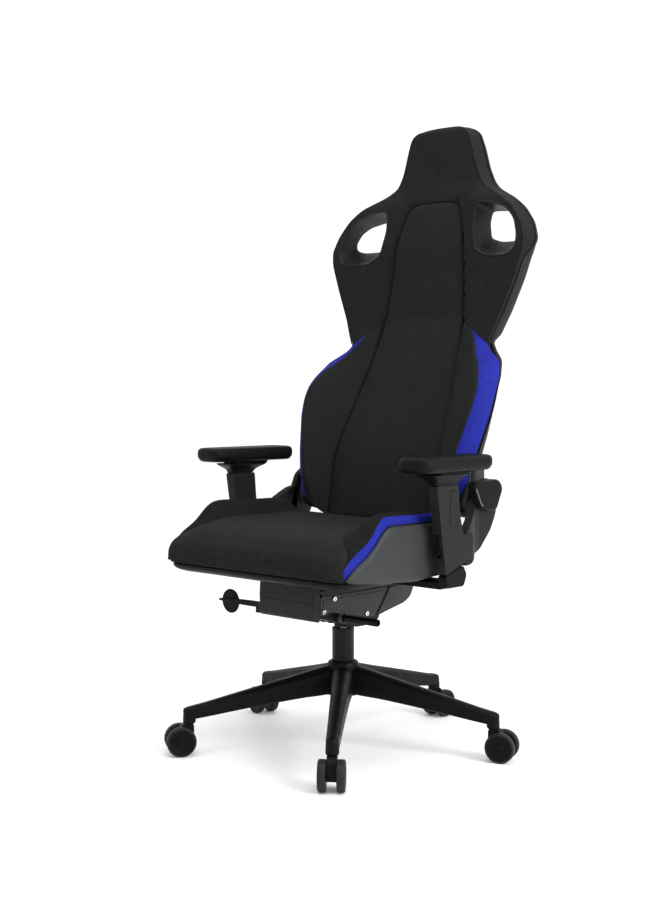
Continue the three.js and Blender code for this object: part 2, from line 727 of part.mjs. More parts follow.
/** Y-shaped bracket: the front branch is the armrest's sleeve, the rear one carries the back. */
function sideBracket() {
  const { inside, outside, rearInside, rearOutside, sleeveTop, pivot, pinRadius } = BRACKET;
  const front = [
    [-31, 413], [-48, 510], [-62, sleeveTop], [9, sleeveTop], [14, 540], [32, 480], [50, 484],
    [62, 478], [62, 422], [32, 436],
  ];
  const rear = [
    [96, 560], [118, 592], [149, 606], [183, 598], [197, 571], [187, 524], [169, 491], [129, 450],
    [104, 446], [90, 500],
  ];
  const step = ([y, x0, x1, z0, z1]) =>
    rectangle([x0, x1], [z0, z1]).map(([x, z]) => new THREE.Vector3(x, y, z));
  const web = loft([
    [46, inside + 2, outside - 2, 431, 482], [80, 280, 302, 437, 500],
    [104, rearInside, rearOutside + 5, 447, 545], [126, rearInside, rearOutside, 452, 560],
  ].map(step));
  const body = join(sideSlab(front, inside, outside, 7), web, sideSlab(rear, rearInside, rearOutside, 7));
  const sleeve = block(SLEEVE.x, SLEEVE.y, [SLEEVE.bottom, sleeveTop + 1]);
  const pocket = sideSlab(buttonOutline(), outside - BUTTON.depth, outside + 1, 10, 4);
  const pinBore = bar(pinRadius + GAP, 60, 'x', [rearInside - 20, pivot.y, pivot.z]);
  return cut(body, sleeve, pocket, pinBore);
}

/** Telescoping armrest post: the blade inside the sleeve and the flared head above it. */
function armPost() {
  const inset = 0.4;
  const blade = block(
    [SLEEVE.x[0] + inset, SLEEVE.x[1] - inset],
    [SLEEVE.y[0] + inset, SLEEVE.y[1] - inset],
    [SLEEVE.bottom + 5, BRACKET.sleeveTop + 6],
  );
  const section = (halfX, front, rear, z, centre) =>
    rectangle([centre - halfX, centre + halfX], [front, rear]).map(([x, y]) => new THREE.Vector3(x, y, z));
  const top = ARM.padBottom - 4.6;
  const head = loft([
    section(12, -62, 9, BRACKET.sleeveTop + 0.4, 304),
    section(14, -66, 14, BRACKET.sleeveTop + 8, 303),
    section(26, -84, 34, top - 5, 301),
    section(27, -86, 36, top, 301),
  ]);
  return join(blade, head);
}

function armSlider() {
  const plan = rectangle([ARM.x - 26, ARM.x + 26], [ARM.y - 52, ARM.y + 52]);
  const spigot = bar(SPIGOT.radius, SPIGOT.height + 4, 'z', [ARM.x, ARM.y, ARM.padBottom - 4]);
  return join(deck(plan, ARM.padBottom - 4.3, ARM.padBottom - GAP, 8), spigot);
}

/** Armrest pad about its own swivel axis: rounded plan, softened edges and a dished top. */
function armPad() {
  const half = ARM.padWidth / 2;
  const end = ARM.padLength / 2;
  const level = ([z, inset]) => {
    const plan = outline(rectangle([-half, half], [-end, end], inset), 34).getPoints(5);
    return plan.slice(0, -1).map((p) => new THREE.Vector3(p.x, p.y, z));
  };
  const tall = ARM.padTop - ARM.padBottom;
  const levels = [[0, 9], [6, 2], [tall - 11, 0], [tall - 3, 3], [tall, 9], [tall - 2, 18]];
  return cut(loft(levels.map(level)), bar(SPIGOT.socketRadius, SPIGOT.height + 2, 'z', [0, 0, -1]));
}

function addArms() {
  addPair('side_bracket', sideBracket(), GREY_PLASTIC);
  addPair('arm_post', armPost(), BLACK_PLASTIC);
  addPair('arm_slider', armSlider(), BLACK_PLASTIC);
  const { outside } = BRACKET;
  const buttonBack = outside - BUTTON.depth + BUTTON.travel + 0.4;
  const button = sideSlab(buttonOutline(0.5), buttonBack, outside + 0.4, 10, 4);
  addPair('arm_button', button, BLACK_PLASTIC);
  for (const [side, name] of [[1, 'left'], [-1, 'right']]) {
    const pad = add(`arm_pad_${name}`, armPad(), SOFT_PLASTIC);
    pad.position.set(side * ARM.x, ARM.y, ARM.padBottom);
    pad.rotation.z = side * radians(ARM.toeOut);
  }
}

// ---- Backrest -----------------------------------------------------------------------------

/** A section at height z: points across the front, then back across the rear. */
function backSection(z, front, rear) {
  return [...front, ...rear.reverse()].map(([x, y]) => new THREE.Vector3(x, y, z));
}

/** A symmetric row of points from the right edge to the left one. */
const acrossBack = (half) => [...half.map(([x, y]) => [-x, y]).reverse(), ...half.filter(([x]) => x > 0)];

/** The section heights between low and high, with both ends. */
function heights(low, high) {
  return [low, ...SECTION_HEIGHTS.filter((z) => z > low + 2 && z < high - 2), high];
}

/** Places that every section of the backrest is drawn from, at height z. */
function backPlaces(z) {
  const [seamX, seamY] = along(SEAM, z);
  const [edgeX, edgeY, side] = along(EDGE, z);
  const [crestX, crestY] = along(CREST, z);
  const edgeDepth = 0.45 * side; // depth of the padding at the rim
  return { seamX: Math.min(seamX, 0.6 * edgeX), seamY, edgeX, edgeY, edgeDepth, side, crestX, crestY };
}

/** Grey shell behind all the padding: a full body with the room for the padding cut out. */
function backShell() {
  const sections = heights(SHELL_BOTTOM, HEIGHT).map((z) => {
    const { seamX, seamY, edgeX, edgeY, side } = backPlaces(z);
    const back = seamY + PAD_DEPTH + SHELL_DEPTH;
    const front = [[0, seamY], [seamX, seamY + 4], [edgeX - RIM - 2, edgeY + 2], [edgeX, edgeY]];
    const corner = edgeY + side;
    const rear = [[0, back], [edgeX * 0.55, back - 2], [edgeX - 12, corner], [edgeX + 1, corner - 14]];
    return backSection(z, acrossBack(front), acrossBack(rear));
  });
  const { pivot, rearInside, pinRadius } = BRACKET;
  const lug = bar(26, rearInside - GAP - 228, 'x', [228, pivot.y, pivot.z], ROUND);
  const strut = sideSlab([[118, 538], [136, 636], [184, 636], [186, 520], [134, 516]], 228, 250, 8);
  const pinBore = bar(pinRadius + GAP, 60, 'x', [rearInside - 30, pivot.y, pivot.z]);
  const tools = [pinBore, bolster(GAP, 30), openingTool()];
  const withLugs = join(loft(sections), lug, strut, mirrored(lug), mirrored(strut));
  return cut(withLugs, ...tools, ...tools.map(mirrored), centrePad(GAP, 40), upperBody(GAP, 60));
}

/** The long pad from the seat to the head, grown all round, and swelling forward by bulge. */
function centrePad(grow = 0, bulge = CENTRE_BULGE) {
  return loft(heights(BACK_BOTTOM - grow, PAD_TOP + grow).map((z) => {
    const { seamX, seamY } = backPlaces(z);
    const half = seamX - GAP / 2 + grow;
    const front = [
      [0, seamY - bulge], [half * 0.6, seamY - bulge * 0.8], [half, seamY - bulge + CENTRE_BULGE],
    ];
    return backSection(z, acrossBack(front), acrossBack([[half, seamY + PAD_DEPTH + grow]]));
  }));
}

/** The left lower side bolster, grown all round, and reaching forward by extra. */
function bolster(grow = 0, extra = 0) {
  return loft(heights(BACK_BOTTOM - grow, SHOULDER_BOTTOM - GAP + grow).map((z) => {
    const { seamX, seamY, edgeX, edgeY, edgeDepth, crestX, crestY } = backPlaces(z);
    const inner = seamX + GAP / 2 - grow;
    const outer = edgeX - RIM - GAP + grow;
    const front = [
      [inner, seamY - extra],
      [inner + 0.6 * (crestX - inner), seamY + 0.55 * (crestY - seamY) - extra],
      [crestX - 14, crestY - extra],
      [Math.min(crestX + 6, outer - 4), crestY + 2 - extra],
      [outer, edgeY - 1 - extra],
    ];
    const rear = [[inner, seamY + PAD_DEPTH - GAP + grow], [outer, edgeY + edgeDepth - 2 * GAP + grow]];
    return backSection(z, front, rear);
  }));
}

/** The shoulders and head as one body, grown all round, and reaching forward by extra. */
function upperBody(grow = 0, extra = 0) {
  return loft(heights(SHOULDER_BOTTOM - grow, HEIGHT + grow).map((z) => {
    const { seamX, seamY, edgeX, edgeY, edgeDepth } = backPlaces(z);
    const outer = edgeX - RIM - GAP + grow;
    const inner = seamY + PAD_DEPTH + grow;
    const front = [[0, seamY - 6 - extra], [seamX, seamY - extra], [outer, edgeY - 1 - extra]];
    const rear = [[0, inner], [seamX, inner], [outer, edgeY + edgeDepth - 2 * GAP + grow]];
    return backSection(z, acrossBack(front), acrossBack(rear));
  }));
}

/** Padding of the shoulders and head, around the centre pad's top. */
function upperPad() {
  return cut(upperBody(), centrePad(GAP, 60), openingTool(), mirrored(openingTool()));
}

/** One outline of a shoulder opening, at a depth behind the padding's face. */
function openingRing(depth, grow) {
  const share = THREE.MathUtils.clamp(depth / OPENING.depth, -0.3, 1);
  const { taper } = OPENING;
  const narrowed = (end) => 1 - share * (1 - end);
  return OPENING_FRONT.map(([x, z]) => {
    const away = new THREE.Vector2(x - OPENING.x, z - OPENING.z);
    const faceY = OPENING.faceY - 0.14 * away.x + 0.128 * away.y;
    away.multiply(new THREE.Vector2(narrowed(taper.x), narrowed(taper.z)));
    away.setLength(away.length() + grow);
    return new THREE.Vector3(OPENING.x + away.x, faceY + depth, OPENING.z + away.y);
  });
}

/** The left shoulder opening as a solid that runs past both faces of the backrest. */
function openingTool(grow = OPENING.wall + GAP) {
  return loft([-18, 0, OPENING.depth, OPENING.depth + 40].map((depth) => openingRing(depth, grow)));
}

/** The funnel that lines a shoulder opening. */
function openingBezel() {
  const outside = loft([-1, OPENING.depth].map((depth) => openingRing(depth, OPENING.wall)));
  return cut(outside, openingTool(0));
}

function addBackrest() {
  add('back_shell', backShell(), GREY_PLASTIC);
  add('back_centre_pad', centrePad(), FABRIC);
  add('upper_back_pad', upperPad(), FABRIC);
  addPair('back_bolster', bolster(), BLUE_FABRIC);
  addPair('shoulder_bezel', openingBezel(), GREY_PLASTIC);
}

// ---- Assembly -----------------------------------------------------------------------------

function addLevers() {
  add('height_lever', heightLever(), BLACK_PLASTIC);
  add('lock_lever', lockLever(), BLACK_PLASTIC);
  add('recline_lever', reclineLever(), SOFT_PLASTIC);
}

function addSeat() {
  addPair('lower_rail', lowerRail(), STEEL);
  addPair('upper_rail', upperRail(), STEEL);
  add('seat_pan', seatPan(), BLACK_PLASTIC);
  addPair('seat_panel', seatPanel(), GREY_PLASTIC);
  add('seat_cushion', seatCushion(), FABRIC);
}

/** The pin that joins a bracket to the back shell, with a flat head on the outside. */
function reclinePin() {
  const { pivot, rearInside, rearOutside, pinRadius } = BRACKET;
  return bar(pinRadius, rearOutside - rearInside + 24, 'x', [rearInside - 26, pivot.y, pivot.z]);
}

addBase();
addColumn();
addMechanism();
addLevers();
addSeat();
addArms();
addPair('recline_pin', reclinePin(), STEEL);
addBackrest();

export default chair;
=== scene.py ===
"""Gaming chair: its looks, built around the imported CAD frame.

Every length here is in millimetres about the column axis, as in the CAD source, until place() turns
it into metres in the row frame. The sitter faces -Y, and the sitter's left is +X.
"""

import math

import bmesh
import bpy
import numpy as np
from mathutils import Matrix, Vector
from mathutils.bvhtree import BVHTree


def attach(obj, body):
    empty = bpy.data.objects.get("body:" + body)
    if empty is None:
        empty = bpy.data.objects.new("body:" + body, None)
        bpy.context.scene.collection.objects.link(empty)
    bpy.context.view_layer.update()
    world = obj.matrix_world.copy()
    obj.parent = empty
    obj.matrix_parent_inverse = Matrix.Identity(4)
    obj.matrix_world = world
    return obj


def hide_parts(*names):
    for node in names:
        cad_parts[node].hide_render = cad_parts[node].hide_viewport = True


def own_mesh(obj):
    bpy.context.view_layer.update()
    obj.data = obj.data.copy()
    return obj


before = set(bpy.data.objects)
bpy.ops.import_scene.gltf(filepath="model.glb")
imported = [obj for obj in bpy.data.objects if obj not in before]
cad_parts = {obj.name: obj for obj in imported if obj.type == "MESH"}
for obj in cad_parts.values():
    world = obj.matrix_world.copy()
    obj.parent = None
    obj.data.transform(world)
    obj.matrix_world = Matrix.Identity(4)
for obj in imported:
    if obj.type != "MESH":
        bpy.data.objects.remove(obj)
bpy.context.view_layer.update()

# ---- Main dimensions and outlines -----------------------------------------------------------

MM = 0.001
COLUMN_AXIS = np.array([5.0, -26.0, 0.0])  # place of the column axis in the row frame
SIDES = ((1, "left"), (-1, "right"))

LEGS = 5
LEG_TURN = 38.83  # degrees from -Y to the first leg
SOCKET_RADIUS = 347
TRAIL = 20
WHEEL_RADIUS = 32.5
WHEEL_INNER, WHEEL_OUTER = 11, 28  # faces of a caster wheel, along the axle

SEAT_SECTIONS = [  # [y, half-width, underside, side edge, bolster crest, middle]
    [-300, 236, 428, 440, 444, 446],
    [-296, 252, 420, 452, 460, 468],
    [-284, 263, 418.4, 454, 470, 480],
    [-262, 266, 418.4, 458, 482, 496],
    [-219, 266, 418.4, 492, 508, 507],
    [-181, 266, 418.4, 520, 539, 509],
    [-146, 266, 418.4, 532, 549, 509],
    [-60, 266, 418.4, 530, 545, 508],
    [50, 266, 418.4, 528, 540, 509],
    [78, 260, 418.4, 510, 516, 511],
    [94, 250, 418.4, 492, 500, 503],
]
SEAT_FRONT, SEAT_TURN = -292, 46  # front edge of the seat's tray, and depth of its rounded corners
SEAT_NARROWING = 41.4  # how far the tray's half-width falls over that depth
SEAT_STRIPS = (5, 4, 6, 22)  # points below the blue stripe, over it, over the dark strip and beyond
SEAT_STRIPE_ENDS = (-287, 80)
CLOTH_FRAMES = 15  # how long the padding is blown up for
BOLSTER_STRIPS = (20, 6, 2)  # points before the back's blue stripe, over it and beyond
PANEL_TOP = [  # upper edge of the seat's side panel: [y, z]
    [-284, 425], [-274, 434], [-250, 450], [-224, 464], [-200, 483], [-179, 505], [-161, 518],
    [-146, 521], [-120, 520], [60, 518],
]
PANEL_BOTTOM = [[-284, 422], [-276, 418], [-250, 414.5], [-200, 410], [-80, 402], [60, 412]]

SEAM = [  # between the centre pad and the side pads: [z, half-distance, y]
    [500, 160, 108], [560, 160, 124], [620, 159, 139], [650, 158, 147], [680, 155, 159],
    [710, 151, 173], [740, 147, 188], [770, 143.5, 203], [800, 139, 217], [830, 134, 229],
    [860, 128.7, 241], [890, 123.7, 254], [963, 115, 280], [1059, 106, 293], [1131, 100, 296],
    [1200, 84, 312], [1237, 66, 322], [1280, 66, 334], [1415, 66, 342],
]
CORE = [  # line that the padding's back and the shell's back follow: [z, y]
    [512, 120], [604, 152], [675, 185], [734, 213], [806, 240], [890, 266], [963, 282], [1059, 293],
    [1131, 296], [1190, 310], [1226, 320], [1280, 334], [1415, 342],
]
EDGE = [  # rim of the shell: [z, half-width, y, depth of its side]
    [500, 240, 112, 24], [560, 247, 125, 24], [620, 256, 135, 24], [655, 265, 143, 24],
    [743, 275, 180, 26], [822, 276, 212, 28], [862, 262, 232, 32], [905, 207, 258, 42],
    [974, 238, 267, 45], [1045, 268, 272, 45], [1103, 288, 274, 45], [1134, 291, 277, 45],
    [1172, 276, 285, 45],
    [1208, 247, 291, 46], [1234, 211, 297, 48], [1260, 155, 323, 44], [1280, 130, 338, 42],
    [1313, 114, 340, 42], [1359, 101, 340, 42], [1395, 89, 339, 40], [1409, 73, 341, 36],
    [1415, 50, 343, 30],
]
TUCK = [  # how far the bolster's side leans in towards the back: [z, distance]
    [490, 0], [640, 2], [700, 9], [760, 20], [800, 28], [885, 32], [903, 18], [915, 0], [1415, 0],
]
CREST = [  # crest of the lower side bolsters: [z, half-distance, y]
    [512, 198, 96], [595, 215, 90], [646, 226, 101], [730, 248, 123], [773, 255, 139],
    [804, 253, 154], [834, 240, 178], [862, 214, 209], [905, 165, 252],
]
HEIGHT = 1415
CENTRE_BOTTOM, SHELL_BOTTOM, BACK_BOTTOM, SHOULDER_BOTTOM = 492, 498, 500, 905
PAD_TOP = 1237
PAD_TURN = 24  # radius of the centre pad's upper corners
RIM = 3  # thickness of the shell's rim round the padding
CROWN = 16  # how far the centre pad stands out between its seams
PADDING, BACK_DEPTH = 24, 46  # from the core line to the padding's back, and to the shell's
WING = {  # a shoulder's slanting lower edge from the front; it draws in what lies within its reach
    "inner": 122, "outer": 212, "high": 953, "low": 897, "reach": 60, "lean": 0.36,
}
LOWER_CORNER = {"start": 140, "end": 220, "last": 202, "width": 48, "rise": 40, "height": 90}
CORNER = 6.5  # radius where the padding turns from its front to its side
HEAD_TURN = 14  # radius of the head's top edge

OPENING_FRONT = [
    [136, 1225], [184, 1220], [228, 1203], [252, 1178], [265, 1138], [259, 1110], [234, 1099],
    [180, 1101], [144, 1119], [133, 1178],
]
OPENING = {"x": 176, "z": 1184, "face_y": 300, "depth": 54, "taper": (0.96, 0.6)}

BRACKET_INSIDE, BRACKET_OUTSIDE = 292, 316
REAR_INSIDE, REAR_OUTSIDE = 266, 282  # faces of the bracket's rear branch
FRONT_BRANCH = [  # [y, z]
    [-31, 413], [-48, 510], [-62, 600], [9, 600], [14, 540], [28, 494], [50, 498], [60, 492],
    [60, 432], [30, 434],
]
REAR_BRANCH = [
    [117, 560], [131, 592], [152, 606], [183, 598], [197, 571], [187, 524], [169, 491], [129, 450],
    [104, 446], [98, 500],
]
PIVOT = (162, 568)
ARM_X, ARM_Y = 301, -12
REST_BOTTOM, REST_TOP = 628.4, 661  # of the armrest pads
TOE_OUT = 3  # degrees
SPRING = {"y": -80, "bottom": 306, "top": 359, "keep": 0.68}  # keep: share of its height when tilted


# ---- Numbers and outlines -------------------------------------------------------------------


def place(points):
    """Millimetres about the column axis to metres in the row frame."""
    return (np.asarray(points, float) + COLUMN_AXIS) * MM


def unplaced(points):
    """Metres in the row frame to millimetres about the column axis."""
    return np.asarray(points, float) / MM - COLUMN_AXIS


def smoothed(table, at, radius=9.0):
    """A [place, values...] table, read at the given places, with its corners rounded off."""
    rows = np.array(table, float)
    reach = 3 * radius
    fine = np.arange(rows[0, 0] - 2 * reach, rows[-1, 0] + 2 * reach, 1.0)
    offsets = np.arange(-reach, reach + 1)
    kernel = np.exp(-0.5 * (offsets / radius) ** 2)
    kernel /= kernel.sum()
    result = []
    for values in rows.T[1:]:
        line = np.interp(fine, rows[:, 0], values)
        before, after = fine < rows[0, 0], fine > rows[-1, 0]
        start = (values[1] - values[0]) / (rows[1, 0] - rows[0, 0])
        end = (values[-1] - values[-2]) / (rows[-1, 0] - rows[-2, 0])
        line[before] = values[0] + start * (fine[before] - rows[0, 0])
        line[after] = values[-1] + end * (fine[after] - rows[-1, 0])
        soft = np.convolve(line, kernel, "same")
        result.append(np.interp(at, fine, soft))
    return np.array(result)


def spline(points, steps):
    """Points of a smooth curve through the given ones, steps to each gap."""
    p = np.asarray(points, float)
    padded = np.vstack([2 * p[0] - p[1], p, 2 * p[-1] - p[-2]])
    curve = []
    for k in range(len(p) - 1):
        a, b, c, d = padded[k : k + 4]
        for t in np.arange(steps) / steps:
            curve.append(
                0.5 * (2 * b + (c - a) * t + (2 * a - 5 * b + 4 * c - d) * t**2
                       + (3 * b - 3 * c + d - a) * t**3)
            )
    return np.vstack([curve, p[-1]])


def eased(value, start, end):
    """0 before start, 1 after end, and a smooth rise between."""
    t = np.clip((np.asarray(value, float) - start) / (end - start), 0, 1)
    return t * t * (3 - 2 * t)


def lengths(points):
    """Distance along a line to each of its points."""
    return np.r_[0, np.cumsum(np.linalg.norm(np.diff(points, axis=0), axis=1))]


def read_along(points, length, places):
    """The points of a line at some distances along it."""
    return np.stack([np.interp(places, length, column) for column in points.T], 1)


def divided(stops, counts):
    """Places from the first stop to the last, with so many in each gap."""
    gaps = [np.linspace(a, b, n, endpoint=False) for a, b, n in zip(stops, stops[1:], counts)]
    return np.concatenate(gaps + [[stops[-1]]])


def respaced(points, count):
    """The same line with count points, evenly spaced."""
    p = np.asarray(points, float)
    length = lengths(p)
    return read_along(p, length, np.linspace(0, length[-1], count))


def arched(line, count):
    """A line up the left side, led over to the right side and down, with count points."""
    return respaced(np.vstack([line, line[::-1] * [-1, 1, 1]]), count)


def rounded(points, radius, steps=6):
    """A closed outline with its corners rounded."""
    p = np.asarray(points, float)
    result = []
    for k in range(len(p)):
        corner, before, after = p[k], p[k - 1], p[(k + 1) % len(p)]
        to_before, to_after = before - corner, after - corner
        reach = min(radius, 0.45 * np.linalg.norm(to_before), 0.45 * np.linalg.norm(to_after))
        enter = corner + to_before / np.linalg.norm(to_before) * reach
        leave = corner + to_after / np.linalg.norm(to_after) * reach
        for t in np.linspace(0, 1, steps + 1):
            result.append((1 - t) ** 2 * enter + 2 * t * (1 - t) * corner + t**2 * leave)
    return np.array(result)


def spun(points, degrees):
    """Points turned about Z."""
    a = math.radians(degrees)
    c, s = math.cos(a), math.sin(a)
    turn = np.array([[c, -s, 0], [s, c, 0], [0, 0, 1]])
    return np.asarray(points, float) @ turn.T


# ---- Meshes ---------------------------------------------------------------------------------


def quads(rows, columns):
    """Faces between closed rings of points, so many columns to the ring."""
    faces = []
    for r in range(rows - 1):
        for c in range(columns):
            a, b = r * columns + c, r * columns + (c + 1) % columns
            faces.append((a, b, b + columns, a + columns))
    return faces


def loft(rings, caps=True):
    """(points, faces) of a solid through rings that all have the same count."""
    rings = np.asarray(rings, float)
    rows, columns, _ = rings.shape
    faces = quads(rows, columns)
    if caps:
        faces.append(tuple(reversed(range(columns))))
        faces.append(tuple(range((rows - 1) * columns, rows * columns)))
    return rings.reshape(-1, 3), faces


def turned(profile, segments=64, axis="z", at=(0, 0, 0)):
    """(points, faces) of a profile of [radius, height] points turned about an axis."""
    angles = np.linspace(0, 2 * math.pi, segments, endpoint=False)
    rings = [
        np.stack([r * np.cos(angles), r * np.sin(angles), np.full(segments, float(h))], 1)
        for r, h in profile
    ]
    points, faces = loft(rings, caps=False)
    if axis == "x":
        points = points[:, [2, 0, 1]]
    if axis == "y":
        points = points[:, [1, 2, 0]]
    return points + np.asarray(at, float), faces


def slab(outline, low, high, axis="x"):
    """(points, faces) of a flat outline between two places along an axis."""
    p = np.asarray(outline, float)
    rings = []
    for level in (low, high):
        fixed = np.full(len(p), float(level))
        columns = {"x": [fixed, p[:, 0], p[:, 1]], "z": [p[:, 0], p[:, 1], fixed],
                   "y": [p[:, 0], fixed, p[:, 1]]}[axis]
        rings.append(np.stack(columns, 1))
    return loft(rings)


def rectangle(left, right, low, high):
    return [[left, low], [right, low], [right, high], [left, high]]


def box(x, y, z):
    """(points, faces) of a block given by its limits, to be bevelled by its user."""
    return slab(rectangle(*x, *y), *z, "z")


def rod(radius, low, high, segments, axis="z", at=(0, 0, 0)):
    """(points, faces) of a plain round bar."""
    return turned([[0, low], [radius, low], [radius, high], [0, high]], segments, axis, at)


def tube(path, radius, sides):
    """(points, faces) of a round bead along a path."""
    p = np.asarray(path, float)
    ahead = np.roll(p, -1, 0) - np.roll(p, 1, 0)
    ahead[0], ahead[-1] = p[1] - p[0], p[-1] - p[-2]
    ahead /= np.linalg.norm(ahead, axis=1)[:, None]
    side = np.cross(ahead, [0.31, 0.22, 0.93])
    side /= np.linalg.norm(side, axis=1)[:, None]
    up = np.cross(side, ahead)
    angles = np.linspace(0, 2 * math.pi, sides, endpoint=False)
    rings = np.array([
        p + radius * (math.cos(a) * side + math.sin(a) * up) for a in angles
    ]).transpose(1, 0, 2)
    return loft(rings)


def joined(*shapes):
    """Several (points, faces) as one."""
    points, faces, first = [], [], 0
    for p, f in shapes:
        points.append(np.asarray(p, float))
        faces += [tuple(first + i for i in face) for face in f]
        first += len(p)
    return np.vstack(points), faces


def flipped(shape):
    """The same shape on the chair's other side."""
    points, faces = shape
    return np.asarray(points) * [-1, 1, 1], [tuple(reversed(f)) for f in faces]


def sided(shape, side):
    """The shape itself on the left side (1), or mirrored to the right one (-1)."""
    return shape if side > 0 else flipped(shape)


def swung(shape, degrees, at=(0, 0, 0)):
    """A shape turned about Z and then moved."""
    return spun(shape[0], degrees) + at, shape[1]


def new_object(name, shape, looks=None):
    """A mesh object from (points, faces); looks gives each face's material slot."""
    points, faces = shape
    mesh = bpy.data.meshes.new(name)
    mesh.from_pydata(place(points).tolist(), [], faces)
    if looks is not None:
        mesh.polygons.foreach_set("material_index", looks)
    mesh.validate()
    made = bpy.data.objects.new(name, mesh)
    bpy.context.scene.collection.objects.link(made)
    outward(made)
    return made


def outward(obj):
    """Turns every face outwards and welds doubled points."""
    work = bmesh.new()
    work.from_mesh(obj.data)
    bmesh.ops.remove_doubles(work, verts=work.verts, dist=2e-5)
    bmesh.ops.recalc_face_normals(work, faces=work.faces)
    work.to_mesh(obj.data)
    work.free()


def softened(obj, width=0.0, segments=3, angle=32, levels=0):
    """Smooth shading with bevelled edges, or with rounds of subdivision."""
    for face in obj.data.polygons:
        face.use_smooth = True
    if width:
        bevel = obj.modifiers.new("edges", "BEVEL")
        bevel.width, bevel.segments = width * MM, segments
        bevel.limit_method, bevel.angle_limit = "ANGLE", math.radians(angle)
        bevel.harden_normals = True
    elif not levels:
        obj.data.set_sharp_from_angle(angle=math.radians(angle))
    if levels:
        finer = obj.modifiers.new("surface", "SUBSURF")
        finer.levels = finer.render_levels = levels
    return obj


def applied(obj):
    """The object with its modifiers turned into mesh."""
    graph = bpy.context.evaluated_depsgraph_get()
    mesh = bpy.data.meshes.new_from_object(obj.evaluated_get(graph))
    obj.modifiers.clear()
    obj.data = mesh
    return obj


def carved(obj, *tools):
    """The object with other shapes cut out of it."""
    for tool in tools:
        cutter = new_object("cutter", tool)
        cut = obj.modifiers.new("cut", "BOOLEAN")
        cut.object, cut.operation, cut.solver = cutter, "DIFFERENCE", "EXACT"
        applied(obj)
        bpy.data.objects.remove(cutter)
    return obj


def finish_piece(obj, body, look, slot, *nodes):
    """Gives a piece its look and its body, and hides the CAD nodes that it stands for; slot is not
    used.
    """
    looks = look if isinstance(look, (list, tuple)) else [look]
    for each in looks:
        obj.data.materials.append(each)
    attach(obj, body)
    if nodes:
        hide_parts(*nodes)
    return obj


def hard(name, shape, body, look, slot, *nodes, width=0.0, segments=3, angle=32):
    """A moulded or metal piece; its edges are bevelled when a width is given."""
    obj = softened(new_object(name, shape), width, segments, angle)
    return finish_piece(obj, body, look, slot, *nodes)


def hard_pair(name, shape, bodies, look, slot, node=None, **options):
    """One hard piece on each side; bodies is a name, or a pattern with {} for the side."""
    for side, word in SIDES:
        nodes = [f"{node}_{word}"] if node else []
        hard(f"{name}_{word}", sided(shape, side), bodies.format(word), look, slot, *nodes, **options)


# ---- Materials ------------------------------------------------------------------------------


class Shader:
    """A Principled material whose patterns are read from the piece's own coordinates, in metres."""

    def __init__(self, name, roughness, metallic=0.0, **constants):
        self.material = bpy.data.materials.new(name)
        self.material.use_nodes = True
        self.nodes = self.material.node_tree.nodes
        self.links = self.material.node_tree.links
        self.surface = self.nodes["Principled BSDF"]
        self.surface.inputs["Roughness"].default_value = roughness
        self.surface.inputs["Metallic"].default_value = metallic
        for socket, value in constants.items():
            self.surface.inputs[socket.replace("_", " ")].default_value = value
        self.place = self.nodes.new("ShaderNodeTexCoord").outputs["Object"]
        self.height = None

    def feed(self, socket, value):
        """Links an input to another node's output, or sets it to a constant."""
        if isinstance(value, bpy.types.NodeSocket):
            self.links.new(value, socket)
        else:
            socket.default_value = value

    def node(self, kind, output, **inputs):
        """An output of a new node; its inputs are given by name, with _ for blanks."""
        made = self.nodes.new("ShaderNode" + kind)
        for name, value in inputs.items():
            self.feed(made.inputs[name.replace("_", " ")], value)
        return made.outputs[output]

    def noise(self, scale, detail=3.0, stretch=None):
        """Noise from 0 to 1 with so many features to the metre."""
        place = self.place
        if stretch:
            place = self.node("Mapping", "Vector", Vector=place, Scale=stretch)
        return self.node("TexNoise", "Fac", Scale=scale, Detail=detail, Vector=place)

    def ranged(self, value, low, high, start=0.0, end=1.0):
        return self.node("MapRange", "Result", Value=value, From_Min=start, From_Max=end,
                         To_Min=low, To_Max=high)

    def mixed(self, share, low, high):
        """Colour from low to high by a share; either may be another node's output."""
        node = self.nodes.new("ShaderNodeMix")
        node.data_type = "RGBA"
        self.links.new(share, node.inputs["Factor"])
        sockets = [s for s in node.inputs if s.type == "RGBA"]
        for socket, colour in zip(sockets, (low, high)):
            self.feed(socket, (*colour, 1.0) if isinstance(colour, tuple) else colour)
        return next(s for s in node.outputs if s.type == "RGBA")

    def math(self, operation, a, b):
        node = self.nodes.new("ShaderNodeMath")
        node.operation = operation
        for socket, value in zip(node.inputs, (a, b)):
            self.feed(socket, value)
        return node.outputs[0]

    def coloured(self, colour):
        self.links.new(colour, self.surface.inputs["Base Color"])

    def roughened(self, value, low, high, start=0.3, end=0.7):
        self.links.new(self.ranged(value, low, high, start, end), self.surface.inputs["Roughness"])

    def raised(self, value, depth, strength=1.0):
        """Adds a bump of so many metres over what was there."""
        below = {} if self.height is None else {"Normal": self.height}
        self.height = self.node("Bump", "Normal", Distance=depth, Strength=strength, Height=value,
                                **below)
        self.links.new(self.height, self.surface.inputs["Normal"])

    def worn(self, colour, light):
        """Colour that turns lighter along outer edges, as handled plastic does."""
        edges = self.nodes.new("ShaderNodeNewGeometry").outputs["Pointiness"]
        return self.mixed(self.ranged(edges, 0.0, 0.5, 0.51, 0.60), colour, light)


def shade(colour, factor):
    return tuple(min(1.0, channel * factor) for channel in colour)


